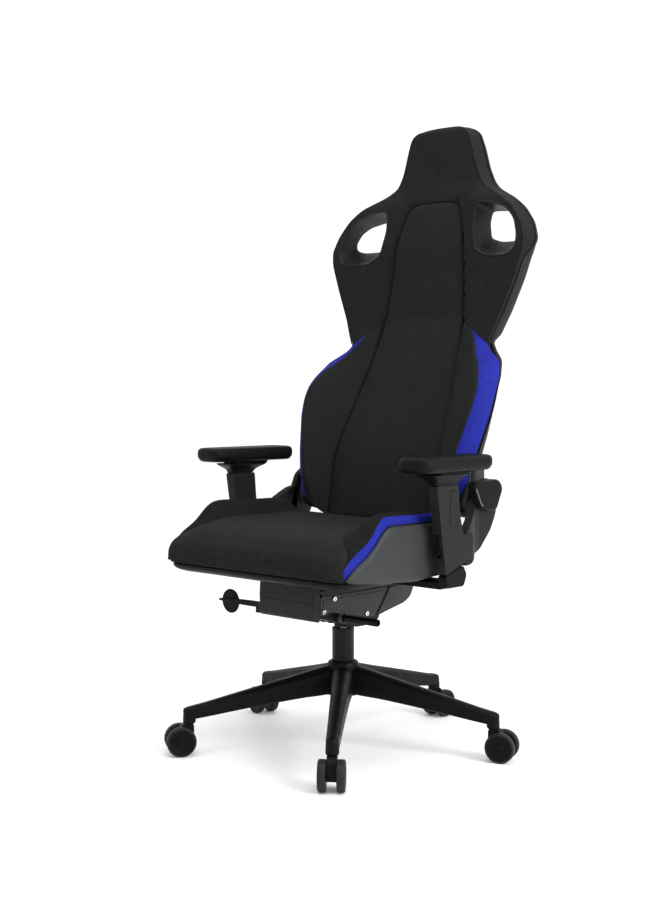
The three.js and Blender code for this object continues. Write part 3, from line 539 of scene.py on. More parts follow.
def cloth(name, colour, light, pitch=0.0012):
    """Soft matt knit: an irregular fine weave, a nap that shows in patches, and a sheen."""
    s = Shader(name, 0.88, Sheen_Weight=0.07, Sheen_Roughness=0.42, Specular_IOR_Level=0.09,
               Sheen_Tint=(*shade(light, 3.0), 1.0))
    weave = s.math("MULTIPLY", s.noise(1 / pitch, 1, (1, 1, 0.3)), s.noise(1 / pitch, 1, (0.3, 0.3, 1)))
    weave = s.ranged(weave, 0, 1, 0.12, 0.42)
    nap = s.noise(14, 4)
    fibres = s.noise(2600, 2)
    base = s.mixed(s.ranged(nap, 0, 1, 0.3, 0.7), shade(colour, 0.86), shade(colour, 1.16))
    s.coloured(s.mixed(s.math("MULTIPLY", weave, fibres), base, light))
    s.roughened(s.noise(60, 3), 0.8, 0.95)
    s.raised(fibres, 0.00022, 0.5)
    s.raised(weave, 0.0004, 0.55)
    s.raised(s.noise(22, 2), 0.0016, 0.35)
    return s.material


def moulded(name, colour, roughness, grain=1500, depth=0.00010, light=1.9, gloss=0.15):
    """Moulded plastic: spark-eroded grain, faint flow patches and edges worn lighter."""
    s = Shader(name, roughness, Specular_IOR_Level=gloss)
    patches = s.noise(9, 4)
    specks = s.noise(grain, 2)
    base = s.mixed(s.ranged(patches, 0, 1, 0.3, 0.7), shade(colour, 0.88), shade(colour, 1.14))
    fine = s.mixed(s.ranged(specks, 0, 0.35, 0.35, 0.75), base, shade(colour, 1.5))
    s.coloured(s.worn(fine, shade(colour, light)))
    s.roughened(s.noise(34, 4), roughness - 0.07, roughness + 0.08)
    s.raised(specks, depth, 0.6)
    return s.material


def metal(name, colour, roughness, metallic=1.0, scratch=(1, 1, 14), specular=0.5):
    """Plated or coated metal with fine drawn marks along Z and handling smudges."""
    s = Shader(name, roughness, metallic, Specular_IOR_Level=specular)
    marks = s.noise(420, 4, scratch)
    smudge = s.noise(26, 4)
    s.coloured(s.mixed(s.ranged(smudge, 0, 1, 0.3, 0.7), shade(colour, 0.85), shade(colour, 1.1)))
    mixed = s.math("ADD", s.math("MULTIPLY", marks, 0.5), s.math("MULTIPLY", smudge, 0.5))
    s.roughened(mixed, max(0.03, roughness - 0.06), roughness + 0.12)
    s.raised(marks, 0.00004, 0.4)
    return s.material


CLOTH_BLACK = cloth("cloth_black", (0.0064, 0.0069, 0.0066), (0.019, 0.0205, 0.0196))
CLOTH_DARK = cloth("cloth_dark", (0.0036, 0.0037, 0.0037), (0.010, 0.0102, 0.0102))
CLOTH_BLUE = cloth("cloth_blue", (0.0085, 0.012, 0.165), (0.019, 0.026, 0.26))
THREAD = cloth("thread", (0.010, 0.010, 0.011), (0.03, 0.03, 0.032), 0.0005)
GREY = moulded("plastic_grey", (0.0235, 0.0245, 0.0254), 0.48, 1300, 0.00012)
SHELL_GREY = moulded("shell_grey", (0.0090, 0.0095, 0.0095), 0.5, 1300, 0.00012)
BRACKET_GREY = moulded("bracket_grey", (0.0092, 0.0095, 0.0098), 0.5, 1300, 0.00012, 1.9, 0.1)
DARK_GREY = moulded("plastic_dark_grey", (0.0085, 0.0089, 0.0089), 0.46, 1300, 0.00012)
BLACK = moulded("plastic_black", (0.0022, 0.0023, 0.0024), 0.42, 1700, 0.00008, 2.6, 0.08)
SOFT_TOUCH = moulded("soft_touch", (0.0034, 0.0035, 0.0036), 0.5, 900, 0.00016, 2.0, 0.08)
TREAD = moulded("tread", (0.010, 0.0103, 0.0105), 0.5, 1100, 0.00010, 1.7)
POWDER_COAT = metal("powder_coat", (0.0042, 0.0042, 0.0044), 0.4, 0.1, (1, 1, 1), 0.16)
CHROME = metal("chrome", (0.62, 0.63, 0.65), 0.12)
ZINC = metal("zinc", (0.42, 0.42, 0.43), 0.34, 1.0, (6, 6, 1))
# pale grey of the bead on the recline lever's rim, a painted highlight
PAINTED_HIGHLIGHT = moulded("mark", (0.11, 0.11, 0.115), 0.5, 1500, 0.00004)


# ---- Base and casters -----------------------------------------------------------------------


def leg_angle(k):
    return LEG_TURN + 360 / LEGS * k - 90


def leg_shape():
    """A leg along +X: upright sides, a sharp crease and an arched strip on top."""
    stations = [  # [distance out, width, low, high]
        [22, 51, 121, 184], [60, 46, 117, 176], [110, 41, 112, 163], [220, 34, 97, 136],
        [310, 29.5, 83, 113.5], [335, 28.5, 79.5, 108], [347, 27.5, 78, 105.5],
        [354, 23, 77.5, 103.5], [358.5, 14, 77.5, 101.5], [360.4, 5, 78, 99.5],
    ]
    rings = []
    for r, width, low, high in spline(stations, 5):
        w, h = width / 2, high - low
        half = [[w * 0.80, low], [w * 0.98, low + 0.05 * h], [w, low + 0.18 * h],
                [w * 0.955, low + 0.74 * h], [w * 0.93, low + 0.79 * h], [w * 0.68, high - 0.085 * h],
                [w * 0.42, high - 0.02 * h], [w * 0.14, high]]
        other = [[-y, z] for y, z in reversed(half)]
        rings.append([[r, y, z] for y, z in half + other])
    return loft(rings)


def make_base():
    socket = turned([[8, 70.5], [13, 70.5], [14, 72], [14, 84], [8, 84], [8, 70.5]], 40,
                    at=(SOCKET_RADIUS, 0, 0))
    arm = joined(leg_shape(), socket)
    legs = [swung(arm, leg_angle(k)) for k in range(LEGS)]
    hub = turned([[26, 118], [41, 118], [42, 119.5], [41.6, 124], [36.4, 172], [35.6, 180], [34.6, 186],
                  [33, 189.5], [30.5, 191], [27, 191], [26, 190], [26, 118]], 72)
    hard("star_base", joined(hub, *legs), "base", BLACK, "black_plastic", "five_star_base",
         width=0.9, angle=24)


def yoke_shape():
    """The caster's fork between its wheels, with its stem on the origin; the axle is out along +X."""
    outline = rounded([[-9, 47], [-9, 66], [-4, 71.4], [10, 71.4], [24, 61], [33, 43], [31.5, 24],
                       [17, 17.5], [3, 26]], 7, 6)
    half = WHEEL_INNER - 0.5
    web = slab(outline, -half, half, "y")
    collar = turned([[0, 68], [11, 68], [11.6, 69.5], [11.6, 73.5], [10.6, 74.6], [0, 74.6]], 48)
    return joined(web, collar), rod(5.4, 70, 95, 32)


def wheel_parts():
    """One wheel on the +Y side about its own axle: its tread, and its dished disc with a cap."""
    r, inner, outer = WHEEL_RADIUS, WHEEL_INNER, WHEEL_OUTER
    tread = [[r - 6, inner], [r - 2.2, inner], [r - 0.7, inner + 0.8], [r, inner + 2.6],
             [r, outer - 3.6], [r - 0.9, outer - 1.4], [r - 2.8, outer - 0.3], [r - 4.2, outer - 0.4],
             [r - 4.6, outer - 1.2], [r - 6, outer - 1.4]]
    disc = [[4, inner + 0.4], [r - 6, inner + 0.4], [r - 6, outer - 1.6], [r - 5.0, outer - 0.9],
            [r - 7.0, outer - 0.2], [r - 9.5, outer - 0.8], [r - 12, outer - 2.0], [14, outer - 2.6],
            [9.6, outer - 2.4], [9.0, outer - 1.2], [8.2, outer - 0.5], [5, outer - 0.1], [0, outer]]
    return tread, disc


def make_casters():
    (fork, stem), (tread, disc) = yoke_shape(), wheel_parts()
    for k in range(LEGS):
        angle = leg_angle(k)
        stem_at = spun([SOCKET_RADIUS, 0, 0], angle)
        axle_at = spun([SOCKET_RADIUS + TRAIL, 0, WHEEL_RADIUS], angle)
        body, wheels = f"caster_{k + 1}", f"caster_wheels_{k + 1}"
        hard(f"caster_fork_{k + 1}", swung(fork, angle, stem_at), body, BLACK, "black_plastic",
             f"caster_yoke_{k + 1}", width=1.4, angle=28)
        hard(f"caster_stem_{k + 1}", swung(stem, angle, stem_at), body, CHROME, "chrome", width=0.4)
        for way, word in ((1, "a"), (-1, "b")):
            for name, profile, look in (("tread", tread, TREAD), ("disc", disc, BLACK)):
                shape = swung(turned([[r, way * y] for r, y in profile], 72, "y"), angle, axle_at)
                hard(f"caster_{name}_{k + 1}{word}", shape, wheels, look, "wheel_plastic",
                     f"caster_wheels_{k + 1}", angle=40)
        axle = swung(rod(3.9, -WHEEL_INNER, WHEEL_INNER, 28, "y"), angle, axle_at)
        hard(f"caster_axle_{k + 1}", axle, wheels, CHROME, "chrome")


# ---- Gas lift and mechanism -----------------------------------------------------------------


def make_column():
    tube_profile = [[23.4, 116], [23.4, 265], [24.2, 266], [25, 265.2], [25, 259], [24.7, 258],
                    [24.7, 115], [24, 113], [8, 113], [8, 116], [23.4, 116]]
    hard("column_sleeve", turned(tube_profile, 72), "base", POWDER_COAT, "black_metal",
         "column_tube", angle=30)
    bush = [[14.3, 206], [22.8, 206], [22.8, 263], [21.5, 264.4], [16, 264.4], [14.3, 263], [14.3, 206]]
    hard("column_bush", turned(bush, 64), "base", SOFT_TOUCH, "wheel_plastic", "guide_bush", angle=30)
    cylinder = [[0, 131], [13, 131], [14, 132], [14, 298], [12.6, 317], [0, 318]]
    hard("cylinder", turned(cylinder, 64), "lift", CHROME, "chrome", "gas_cylinder", angle=25)
    collar = [[14.2, 268.5], [19.5, 268.5], [20.5, 269.5], [20.5, 279], [14.2, 279], [14.2, 268.5]]
    hard("cylinder_collar", turned(collar, 64), "lift", POWDER_COAT, "black_metal", width=0.4)


def chamfered(profile, low, high, radius):
    """A side profile, [y, z], with rounded corners, as a slab along X."""
    return slab(rounded(profile, radius), low, high, "x")


def screw(x, y, z, radius=5.5):
    """A socket screw's head that faces along +X, with a round recess."""
    head = [[0, 1.2], [2.6, 1.2], [2.9, 2.9], [radius - 0.8, 2.9], [radius, 2.2], [radius, 0], [0, 0]]
    return turned(head, 36, "x", (x, y, z))


def make_housing():
    housing = [[-152, 312], [-152, 349], [-118, 349], [45, 321], [45, 292], [24, 278], [-32, 278],
               [-104, 298]]
    hard("mechanism_body", chamfered(housing, -70, 70, 8), "lift", POWDER_COAT, "black_metal",
         "mechanism_housing", width=2.2)
    rib = [[-96, 292], [24, 273.5], [34, 279], [34, 286], [-96, 304]]
    ribs = [chamfered(rib, x - 2.2, x + 2.2, 3) for x in (-44, -22, 22, 44)]
    hard("mechanism_ribs", joined(*ribs), "lift", POWDER_COAT, "black_metal", width=0.8)


def make_side_plates():
    """The grey plates beside the mechanism, with their screws and the lock lever's guide."""
    plate = [[-162, 318], [-162, 359], [58, 359], [40, 332], [12, 298], [-12, 300], [-128, 323]]
    inner = [[-154, 325], [-154, 352], [44, 352], [31, 332], [8, 305], [-10, 306], [-127, 330]]
    face = joined(chamfered(plate, 76, 83.2, 5), chamfered(inner, 82.6, 84.6, 4))
    hard_pair("mechanism_side", face, "carrier", GREY, "grey_plastic", "side_plate", width=1.0)
    tab = turned([[8.5, 76], [12, 76], [12.6, 77], [12.6, 83.4], [11.6, 84.4], [9.2, 84.4],
                  [8.5, 83.6], [8.5, 76]], 48, "x", (0, -89, 307))
    hard("lock_guide", tab, "carrier", GREY, "grey_plastic", angle=30)
    for k, (y, z) in enumerate(((-153, 327), (-120, 352), (-16, 308))):
        hard(f"mechanism_screw_{k + 1}", screw(84.3, y, z), "carrier", CHROME, "chrome",
             f"side_screw_{k + 1}", width=0.25)


def make_covers():
    """The covers in front of the mechanism and behind it, both open where parts move inside."""
    front = [[-178.6, 312], [-179.6, 352], [-177.6, 386], [-164.6, 386], [-164.6, 306.4], [-172, 306.4]]
    crease = [[-180.4, 344], [-180.4, 345.6], [-178, 346.2], [-178, 343.4]]
    notch = slab(rectangle(-190, -160, 379.4, 400), 50, 66)  # a seat rail slides through here
    cover = carved(new_object("mechanism_front", chamfered(front, -84, 84, 3)), notch, flipped(notch))
    finish_piece(softened(cover, 1.2), "carrier", DARK_GREY, "black_plastic", "front_cover")
    hard("mechanism_crease", chamfered(crease, -76, 76, 0.6), "carrier", DARK_GREY, "black_plastic",
         width=0.2)
    high = [308, 326]
    lug = joined(box([-105, -80], [-172, -165], high), box([-105, -84.4], [-172, -139.4], high),
                 rod(3, -140, -123, 32, "y", (-96, 0, 317)))
    hard("lever_lug", lug, "carrier", BLACK, "black_plastic", width=1.6)
    rear = [[60, 359], [42, 332], [15, 298], [50, 306], [110, 318], [132, 330], [142, 348], [143, 359]]
    room = [[0, 370], [0, 270], [54, 270], [54, 312], [108, 325], [127, 336], [136, 370]]
    cover = carved(new_object("mechanism_rear", chamfered(rear, -86, 86, 9)), slab(room, -75, 75))
    finish_piece(softened(cover, 2.0), "carrier", GREY, "grey_plastic", "rear_cover")


def make_cross_beam():
    foot = [[-27, 386], [-31, 411], [28, 431], [40, 410], [30, 386]]
    arm = joined(box([100, 296], [-25, 33], [382, 396.8]), box([79, 131], [-40, 48], [372.4, 386]),
                 chamfered(foot, 292.3, 315.8, 7))
    hard_pair("cross_beam", arm, "carrier", BLACK, "black_plastic", "cross_arm", width=2.2)


def make_spring():
    """The tilt spring, which the carrier plate presses down on."""
    coils, radius, wire = 5, 15, 2.6
    low, high = SPRING["bottom"] + wire + 0.6, SPRING["top"] - wire - 0.6
    turn = np.linspace(0, 2 * math.pi * coils, 28 * coils)
    path = np.column_stack([radius * np.cos(turn), SPRING["y"] + radius * np.sin(turn),
                            np.linspace(low, high, len(turn))])
    spring = new_object("tilt_spring", tube(path, wire, 12))
    finish_piece(softened(spring), "lift", ZINC, "steel", "tension_spring")
    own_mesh(spring)


def make_height_lever():
    outline = rounded([[-262, 314.2], [-262, 319], [-206, 322.6], [-150, 324], [-98, 322.6],
                       [-98, 312.6], [-150, 311.2], [-206, 311.6]], 3.0)
    arm = slab(outline, -136, -128, "y")
    disc = [[0, -2.6], [9, -2.2], [20, -1.0], [26.4, -1.4], [27.6, -0.2], [27.6, 1.6], [26.2, 2.8],
            [18, 3.4], [0, 2.9]]
    round_end = turned(disc, 72, "y", (-229, -129.5, 315))
    boss = turned([[3.4, -7], [7, -7], [8, -6], [8, 6], [7, 7], [3.4, 7], [3.4, -7]], 40, "y",
                  (-96, -132, 317))
    hard("height_handle", joined(arm, round_end, boss), "height_lever", BLACK, "black_plastic",
         "height_lever", width=1.0)


def make_lock_lever():
    knob = [[0, 74], [6.6, 74], [6.6, 148], [7.2, 150], [8, 152], [8, 178], [7.2, 180.6], [5.8, 181],
            [5.2, 180], [5.2, 160], [0, 160]]
    hard("lock_handle", turned(knob, 48, "x", (0, -89, 307)), "lock_lever", BLACK, "black_plastic",
         "lock_lever", angle=30)


def make_recline_lever():
    """The pear-shaped recline lever outside the left hinge, with a painted highlight along its rim and
    a dark mark.
    """
    profile = rounded([[71, 600], [165, 604], [180, 584], [155, 532], [101, 544]], 17, 8)
    centre = profile.mean(0)
    face = REAR_OUTSIDE + 26
    levels = [[face - 21, -2.5], [face - 19.5, 0], [face - 6, 0], [face - 2.5, -1.5],
              [face - 0.4, -4.5], [face, -7]]
    rings = []
    for x, grow in levels:
        out = profile - centre
        scale = 1 + grow / np.linalg.norm(out, axis=1)[:, None]
        rings.append(np.column_stack([np.full(len(profile), x), centre + out * scale]))
    hub = turned([[0, 0.6], [15, 0.6], [15.6, 1.4], [15.6, 5.6], [0, 5.6]], 48, "x",
                 (REAR_OUTSIDE, *PIVOT))
    hard("recline_handle", joined(loft(rings), hub), "recline_lever", SOFT_TOUCH, "soft_plastic",
         "recline_lever", angle=45)
    # a pale bead just inside the lever's rim: a painted highlight on its bevel
    edge = centre + 0.93 * (np.vstack([profile[40:45], profile[:2]]) - centre)
    highlight_path = np.array([[face - 0.9, y, z] for y, z in respaced(edge, 18)])
    hard("recline_painted_highlight", tube(highlight_path, 1.2, 10), "recline_lever", PAINTED_HIGHLIGHT, "soft_plastic")
    mark = box([face - 0.1, face + 0.3], [120, 148], [578, 580.2])
    hard("recline_mark", mark, "recline_lever", BLACK, "soft_plastic")


# ---- Seat -----------------------------------------------------------------------------------


def front_narrowing(full, y):
    """Half-width of the seat's plan, which rounds in at the front corners."""
    into = max(0.0, (SEAT_FRONT + SEAT_TURN - y) / SEAT_TURN)
    return full - SEAT_NARROWING * (1 - math.sqrt(max(0.0, 1 - into * into)))


def make_pan():
    half = 260
    stations = SEAT_FRONT + SEAT_TURN * (1 - np.cos(np.linspace(0, math.pi / 2, 10)))
    side = [[front_narrowing(half, y), y] for y in stations] + [[250, 96], [238, 118]]
    outline = np.array(side + [[-x, y] for x, y in reversed(side)])
    levels = ((418, 1.0), (416, 2.6), (412, 3.0), (407, 0.0), (402.5, -7), (399.6, -16), (399, -24))
    rings = []
    for z, grow in levels:
        spread = outline * [1 + grow / half, 1 - grow / SEAT_FRONT]
        rings.append(np.column_stack([spread, np.full(len(spread), z)]))
    hard("seat_tray", loft(rings), "seat", BLACK, "black_plastic", "seat_pan", angle=50)
    strips = [box([x - 2, x + 2], [-262, 98], [396.5, 400]) for x in (-205, -150, -105, 105, 150, 205)]
    hard("seat_tray_ribs", joined(*strips), "seat", BLACK, "black_plastic", width=0.8)


def make_side_panels():
    """The grey side panels of the seat: crowned faces with rolled edges."""
    ys = np.linspace(-283.5, 59.5, 90)
    top, low = smoothed(PANEL_TOP, ys, 5)[0], smoothed(PANEL_BOTTOM, ys, 5)[0]
    top = np.maximum(top, low + 3)
    shares = np.r_[0, 0.015, 0.05, 0.12, np.linspace(0.22, 0.78, 7), 0.88, 0.95, 0.985, 1]
    rings = []
    for y, z0, z1 in zip(ys, low, top):
        end = min(1.0, (y + 284) / 16, (60 - y) / 7)
        rows = []
        for share in shares:
            z = z0 + share * (z1 - z0)
            edge = min(share, 1 - share) * (z1 - z0)
            drop = 3.2 * (1 - min(1.0, edge / 7)) ** 2 + 3.0 * (1 - max(0.0, end)) ** 2
            swell = 2.4 * math.sin(math.pi * share) ** 0.8 * max(0.0, end)
            rows.append([272.6 - drop + swell, y, z])
        back = [[267.2, y, z] for _, y, z in reversed(rows)]
        rings.append(rows + back)
    hard_pair("seat_side", loft(rings), "seat", GREY, "grey_plastic", "seat_panel",
              angle=50)


def seat_half(row):
    """Half a section from the underside over the bolster to the middle, with its seams' places.

    The blue stripe lies just above the grey side panel, and then follows its edge to the front;
    the darker cloth of the bolster's inner slope lies beside it."""
    y, w, low, rim, crest, middle = row
    rise, hollow = crest - middle, 0.35 * (crest - middle)
    line = [[w * 0.95, low], [w - 0.6, low + 0.25 * (rim - low)], [w, rim - 0.25 * (rim - low)],
            [w - 2, rim], [w - 14, crest], [w - 30, crest - 0.5], [w - 46, middle + 0.62 * rise],
            [w * 0.755, middle + 0.6 * hollow], [w * 0.55, middle], [w * 0.25, middle - 1.5],
            [0, middle - 2]]
    curve = spline(line, 10)
    length = lengths(curve)
    panel = float(smoothed(PANEL_TOP, [y], 5)[0][0])
    above = float(np.interp(y, [-284, -200, -150], [1.5, 3, 10]))
    start = float(np.interp(panel + above, curve[:50, 1], length[:50]))
    start = max(4.0, min(start, float(length[-1]) * 0.5))
    width = float(np.interp(y, [-300, -280, -240, -190, -150, 60, 94], [14, 25, 25, 21, 16, 14, 12]))
    crease = float(np.interp(-w * 0.745, -curve[:, 0], length))
    reach = float(eased(y, -282, -214))
    inner = start + width + max(1.0, reach * (crease - start - width))
    stops = [0, start, start + width, inner, length[-1]]
    places = divided(stops, SEAT_STRIPS)
    return read_along(curve, length, places), stops, places


def sewn(points, places, seams, puff, groove=1.6, reach=7.0):
    """Pushes a section in at its seams and out between them, along its own normals.

    points are [across, up] from one end to the other; puff is how far it swells between seams."""
    ahead = np.gradient(points, axis=0)
    out = np.stack([ahead[:, 1], -ahead[:, 0]], 1)
    out /= np.maximum(np.linalg.norm(out, axis=1), 1e-9)[:, None]
    away = np.min([np.abs(places - s) for s in seams], axis=0)
    move = -groove * np.exp(-((away / 1.7) ** 2)) + puff * (1 - np.exp(-away / reach))
    return points + out * move[:, None]


def make_cushion():
    rows = []
    for row in spline(SEAT_SECTIONS, 7):
        y = row[0]
        half, stops, places = seat_half(row)
        fade = float(np.interp(y, [-300, -285, 76, 94], [0.2, 1, 1, 0.3]))
        half = sewn(half, places, stops[1:4], 2.2 * fade, 1.6 * fade)
        right = [[x, y, z] for x, z in half]
        left = [[-x, y, z] for x, z in half[-2::-1]]
        rows.append(right + left)
    strips = np.repeat([0, 1, 2, 0], SEAT_STRIPS).tolist()
    across = [*strips, *strips[::-1], 0]
    first, last = SEAT_STRIPE_ENDS
    looks = [look * (first < row[0][1] < last) for row in rows[:-1] for look in across] + [0, 0]
    cushion = new_object("seat_padding", loft(rows), looks)
    finish_piece(cushion, "seat", [CLOTH_BLACK, CLOTH_BLUE, CLOTH_DARK], "fabric_black",
                 "seat_cushion")
    upholstered(cushion, lambda p: p[:, 2] < 422.5, pressure=3.0, cap=5.0)


def upholstered(obj, pinned, pressure, cap):
    """Makes a padded piece: swollen and smooth."""
    inflated(obj, pinned, pressure, cap)
    softened(obj, levels=1)


def vertex_places(mesh):
    """The mesh's points, in metres."""
    flat = np.empty(len(mesh.vertices) * 3)
    mesh.vertices.foreach_get("co", flat)
    return flat.reshape(-1, 3)


def cloth_under(obj, pressure):
    """A cloth modifier on a piece, blown up from inside, that leaves the held points alone."""
    modifier = obj.modifiers.new("cloth", "CLOTH")
    settings = modifier.settings
    settings.quality = 4
    settings.mass = 0.3
    settings.use_pressure = True
    settings.uniform_pressure_force = pressure
    settings.tension_stiffness = settings.compression_stiffness = 30
    settings.shear_stiffness = 15
    settings.bending_stiffness = 6
    settings.vertex_group_mass = "held"
    settings.effector_weights.gravity = 0
    modifier.collision_settings.use_collision = False
    return modifier


def inflated(obj, pinned, pressure, cap):
    """Swells a piece as cloth under pressure, with the pinned points held.

    pinned is given points in the outlines' millimetres; no point moves further than cap."""
    before = vertex_places(obj.data)
    held = obj.vertex_groups.new(name="held")
    held.add(np.flatnonzero(pinned(unplaced(before))).tolist(), 1.0, "REPLACE")
    modifier = cloth_under(obj, pressure)
    scene = bpy.context.scene
    for step in range(1, CLOTH_FRAMES + 1):
        scene.frame_set(step)
    swollen = obj.evaluated_get(bpy.context.evaluated_depsgraph_get())
    move = vertex_places(swollen.to_mesh()) - before
    swollen.to_mesh_clear()
    obj.modifiers.remove(modifier)
    far = np.linalg.norm(move, axis=1)
    limit = cap * MM
    move *= (limit * np.tanh(far / limit) / np.maximum(far, 1e-9))[:, None]
    obj.data.vertices.foreach_set("co", (before + move).ravel())
    obj.data.update()
    scene.frame_set(1)


# ---- Armrests and brackets ------------------------------------------------------------------


def bracket_web():
    """The middle of a bracket, which steps in from its front branch to its rear one."""
    stations = [  # [y, inner x, outer x, low, high]
        [36, 294, 315.4, 428, 492], [50, 294, 314.2, 428, 512], [62, 291, 311.6, 430, 524],
        [82, 279, 302, 435, 540], [98, 269.5, 291, 442, 554], [106, 266.4, 286, 445, 560],
        [128, 266.4, 281, 451, 566],
    ]
    return loft([[[x, y, z] for x, z in rectangle(*limits)] for y, *limits in stations])


def bracket_button():
    """The button in a bracket's pocket, with a grip on its face."""
    plate = slab(rounded(rectangle(-19.2, 3.2, 514.8, 589.2), 10.8, 8), BRACKET_OUTSIDE - 3.0,
                 BRACKET_OUTSIDE + 0.3)
    grip = slab(rounded(rectangle(-13, -3, 566, 582), 4.8, 6), BRACKET_OUTSIDE + 0.2,
                BRACKET_OUTSIDE + 0.9)
    return joined(plate, grip)


def make_brackets():
    """The Y-shaped brackets: a sleeve for the armrest, and a rear branch that carries the back."""
    front = slab(rounded(FRONT_BRANCH, 6, 5), BRACKET_INSIDE + 0.4, BRACKET_OUTSIDE - 0.4)
    rear = slab(rounded(REAR_BRANCH, 9, 6), REAR_INSIDE + 0.4, REAR_OUTSIDE - 1.2)
    sleeve = slab(rectangle(-46, -4, 450, 620), 296, 308)
    slot = rounded(rectangle(-20, 4, 514, 590), 11.5, 8)
    pocket = slab(slot, BRACKET_OUTSIDE - 5.4, BRACKET_OUTSIDE + 5)
    foot_gap = slab([[-60, 408], [60, 441], [60, 443], [-60, 410]], BRACKET_OUTSIDE - 1.4,
                    BRACKET_OUTSIDE + 5)
    for side, word in SIDES:
        obj = new_object(f"bracket_{word}", sided(front, side))
        carved(obj, *[sided(tool, side) for tool in (sleeve, pocket, foot_gap)])
        softened(obj, 1.5, 3, 40)
        finish_piece(obj, "carrier", BRACKET_GREY, "grey_plastic", f"side_bracket_{word}")
        hard(f"button_{word}", sided(bracket_button(), side), f"arm_button_{word}", BRACKET_GREY,
             "black_plastic", f"arm_button_{word}", width=0.8)
    for name, shape, angle in (("web", bracket_web(), 28), ("rear", rear, 40)):
        hard_pair(f"bracket_{name}", shape, "carrier", BRACKET_GREY, "grey_plastic", width=2.2,
                  angle=angle)
    pin = rod(7.6, 242, 281.6, 48, "x", (0, *PIVOT))
    hard_pair("pivot_pin", pin, "carrier", ZINC, "steel", "recline_pin")
    cap = screw(REAR_OUTSIDE - 0.2, *PIVOT, radius=9.5)
    hard("pivot_screw_right", flipped(cap), "carrier", CHROME, "chrome", width=0.3)


def make_posts():
    """The armrest posts: a blade in the sleeve and a head that flares up to the pad."""
    stations = [  # [z, centre x, half thickness, front y, rear y]
        [600.6, 304, 12, -61.5, 8.5], [604, 304, 12.4, -62.4, 9.5], [608, 303.6, 14, -65, 13],
        [612, 302.9, 17, -70, 18.5], [616, 302, 21, -77, 26], [620, 301.2, 25.4, -83.4, 33.4],
        [623.6, 301, 26.8, -86, 36],
    ]
    rings = []
    for z, x, half, front, rear in spline(stations, 4):
        corners = rounded(rectangle(x - half, x + half, front, rear), 9, 5)
        rings.append([[px, py, z] for px, py in corners])
    blade = box([296.6, 307.4], [-45.4, -4.6], [456, 606])
    hard_pair("armrest_post", joined(loft(rings), blade), "arm_{}", BLACK, "black_plastic",
              "arm_post", width=0.8, angle=50)
    plan = rounded(rectangle(ARM_X - 26, ARM_X + 26, ARM_Y - 52, ARM_Y + 52), 10, 6)
    hard_pair("armrest_slide", slab(plan, 624.0, 628.2, "z"), "arm_slider_{}", BLACK,
              "black_plastic", "arm_slider", width=0.8)


def pad_level(z, inset):
    """One outline of an armrest pad, waisted a little in the middle, at a height above its base."""
    half, end = 42 - inset, 125 - inset
    outline = rounded(rectangle(-half, half, -end, end), 29 - 0.4 * inset, 12)
    outline[:, 0] *= 0.955 + 0.045 * (outline[:, 1] / end) ** 2
    return [[x, y, z] for x, y in outline]


def make_pads():
    """Armrest pads: a hard undertray with a soft cover that is dished on top."""
    tall = REST_TOP - REST_BOTTOM
    tray = [pad_level(0.2, 12), pad_level(0.6, 8), pad_level(3, 4.5), pad_level(6.5, 2.6),
            pad_level(8.4, 2.2)]
    levels = [(8.0, 2.4), (8.8, 1.2), (10, 0.7), (14, 0.1), (20, 0.0), (25, 0.5), (28.4, 1.9),
              (30.6, 4.2), (31.9, 7.4), (32.4, 11.5), (32.2, 17), (31.5, 24), (31.0, 30), (30.8, 37)]
    cover = [pad_level(z, inset) for z, inset in levels]
    cover = [[[x, y, min(z, tall)] for x, y, z in ring] for ring in cover]
    for side, word in SIDES:
        for name, rings, look in (("tray", tray, BLACK), ("cover", cover, SOFT_TOUCH)):
            shape = sided(swung(loft(rings), TOE_OUT, [ARM_X, ARM_Y, REST_BOTTOM]), side)
            obj = hard(f"armrest_{name}_{word}", shape, f"arm_pad_{word}", look, "soft_plastic",
                       f"arm_pad_{word}", angle=60)
            if name == "cover":
                softened(obj, levels=1)


# ---- Backrest -------------------------------------------------------------------------------


class Backrest:
    """The outlines of the backrest's sections at some heights."""

    def __init__(self, heights):
        self.z = np.asarray(heights, float)
        self.seam_x, self.seam_y = smoothed(SEAM, self.z, 12)
        self.edge_x, self.edge_y, self.side = smoothed(EDGE, self.z, 5)
        self.crest_x, self.crest_y = smoothed(CREST, self.z, 9)
        self.seam_x = np.minimum(self.seam_x, 0.62 * self.edge_x)
        self.core_y = smoothed(CORE, self.z, 12)[0]
        fabric = [[490, 0.08], [760, 0.08], [800, 0.3], [862, 0.6], [896, 0.6], [912, 0.2],
                  [1085, 0.2], [1125, 0.95], [1140, 1.0], [1415, 1.0]]
        self.tuck = smoothed(TUCK, self.z, 5)[0]
        self.pad_side = self.side * smoothed(fabric, self.z, 5)[0]
        self.outer = self.edge_x - RIM - 0.3  # side of the padding, just inside the shell's rim
        over = np.clip((self.z - HEIGHT + HEAD_TURN) / HEAD_TURN, 0, 1)
        self.top_inset = HEAD_TURN * (1 - np.sqrt(1 - over**2))


def slanted(points):
    """Moves the seam between shoulder and bolster onto the shoulder's slanting lower edge."""
    p = np.asarray(points, float).copy()
    across = np.clip((np.abs(p[..., 0]) - WING["inner"]) / (WING["outer"] - WING["inner"]), 0, 1)
    lift = WING["high"] + across * (WING["low"] - WING["high"]) - SHOULDER_BOTTOM
    z = p[..., 2]
    reach = WING["reach"]
    near = np.where(z < SHOULDER_BOTTOM, eased(z, SHOULDER_BOTTOM - reach, SHOULDER_BOTTOM),
                    1 - np.clip((z - SHOULDER_BOTTOM) / reach, 0, 1))
    p[..., 1] += WING["lean"] * lift * near
    p[..., 2] = z + lift * near + corner_lift(p)
    return p


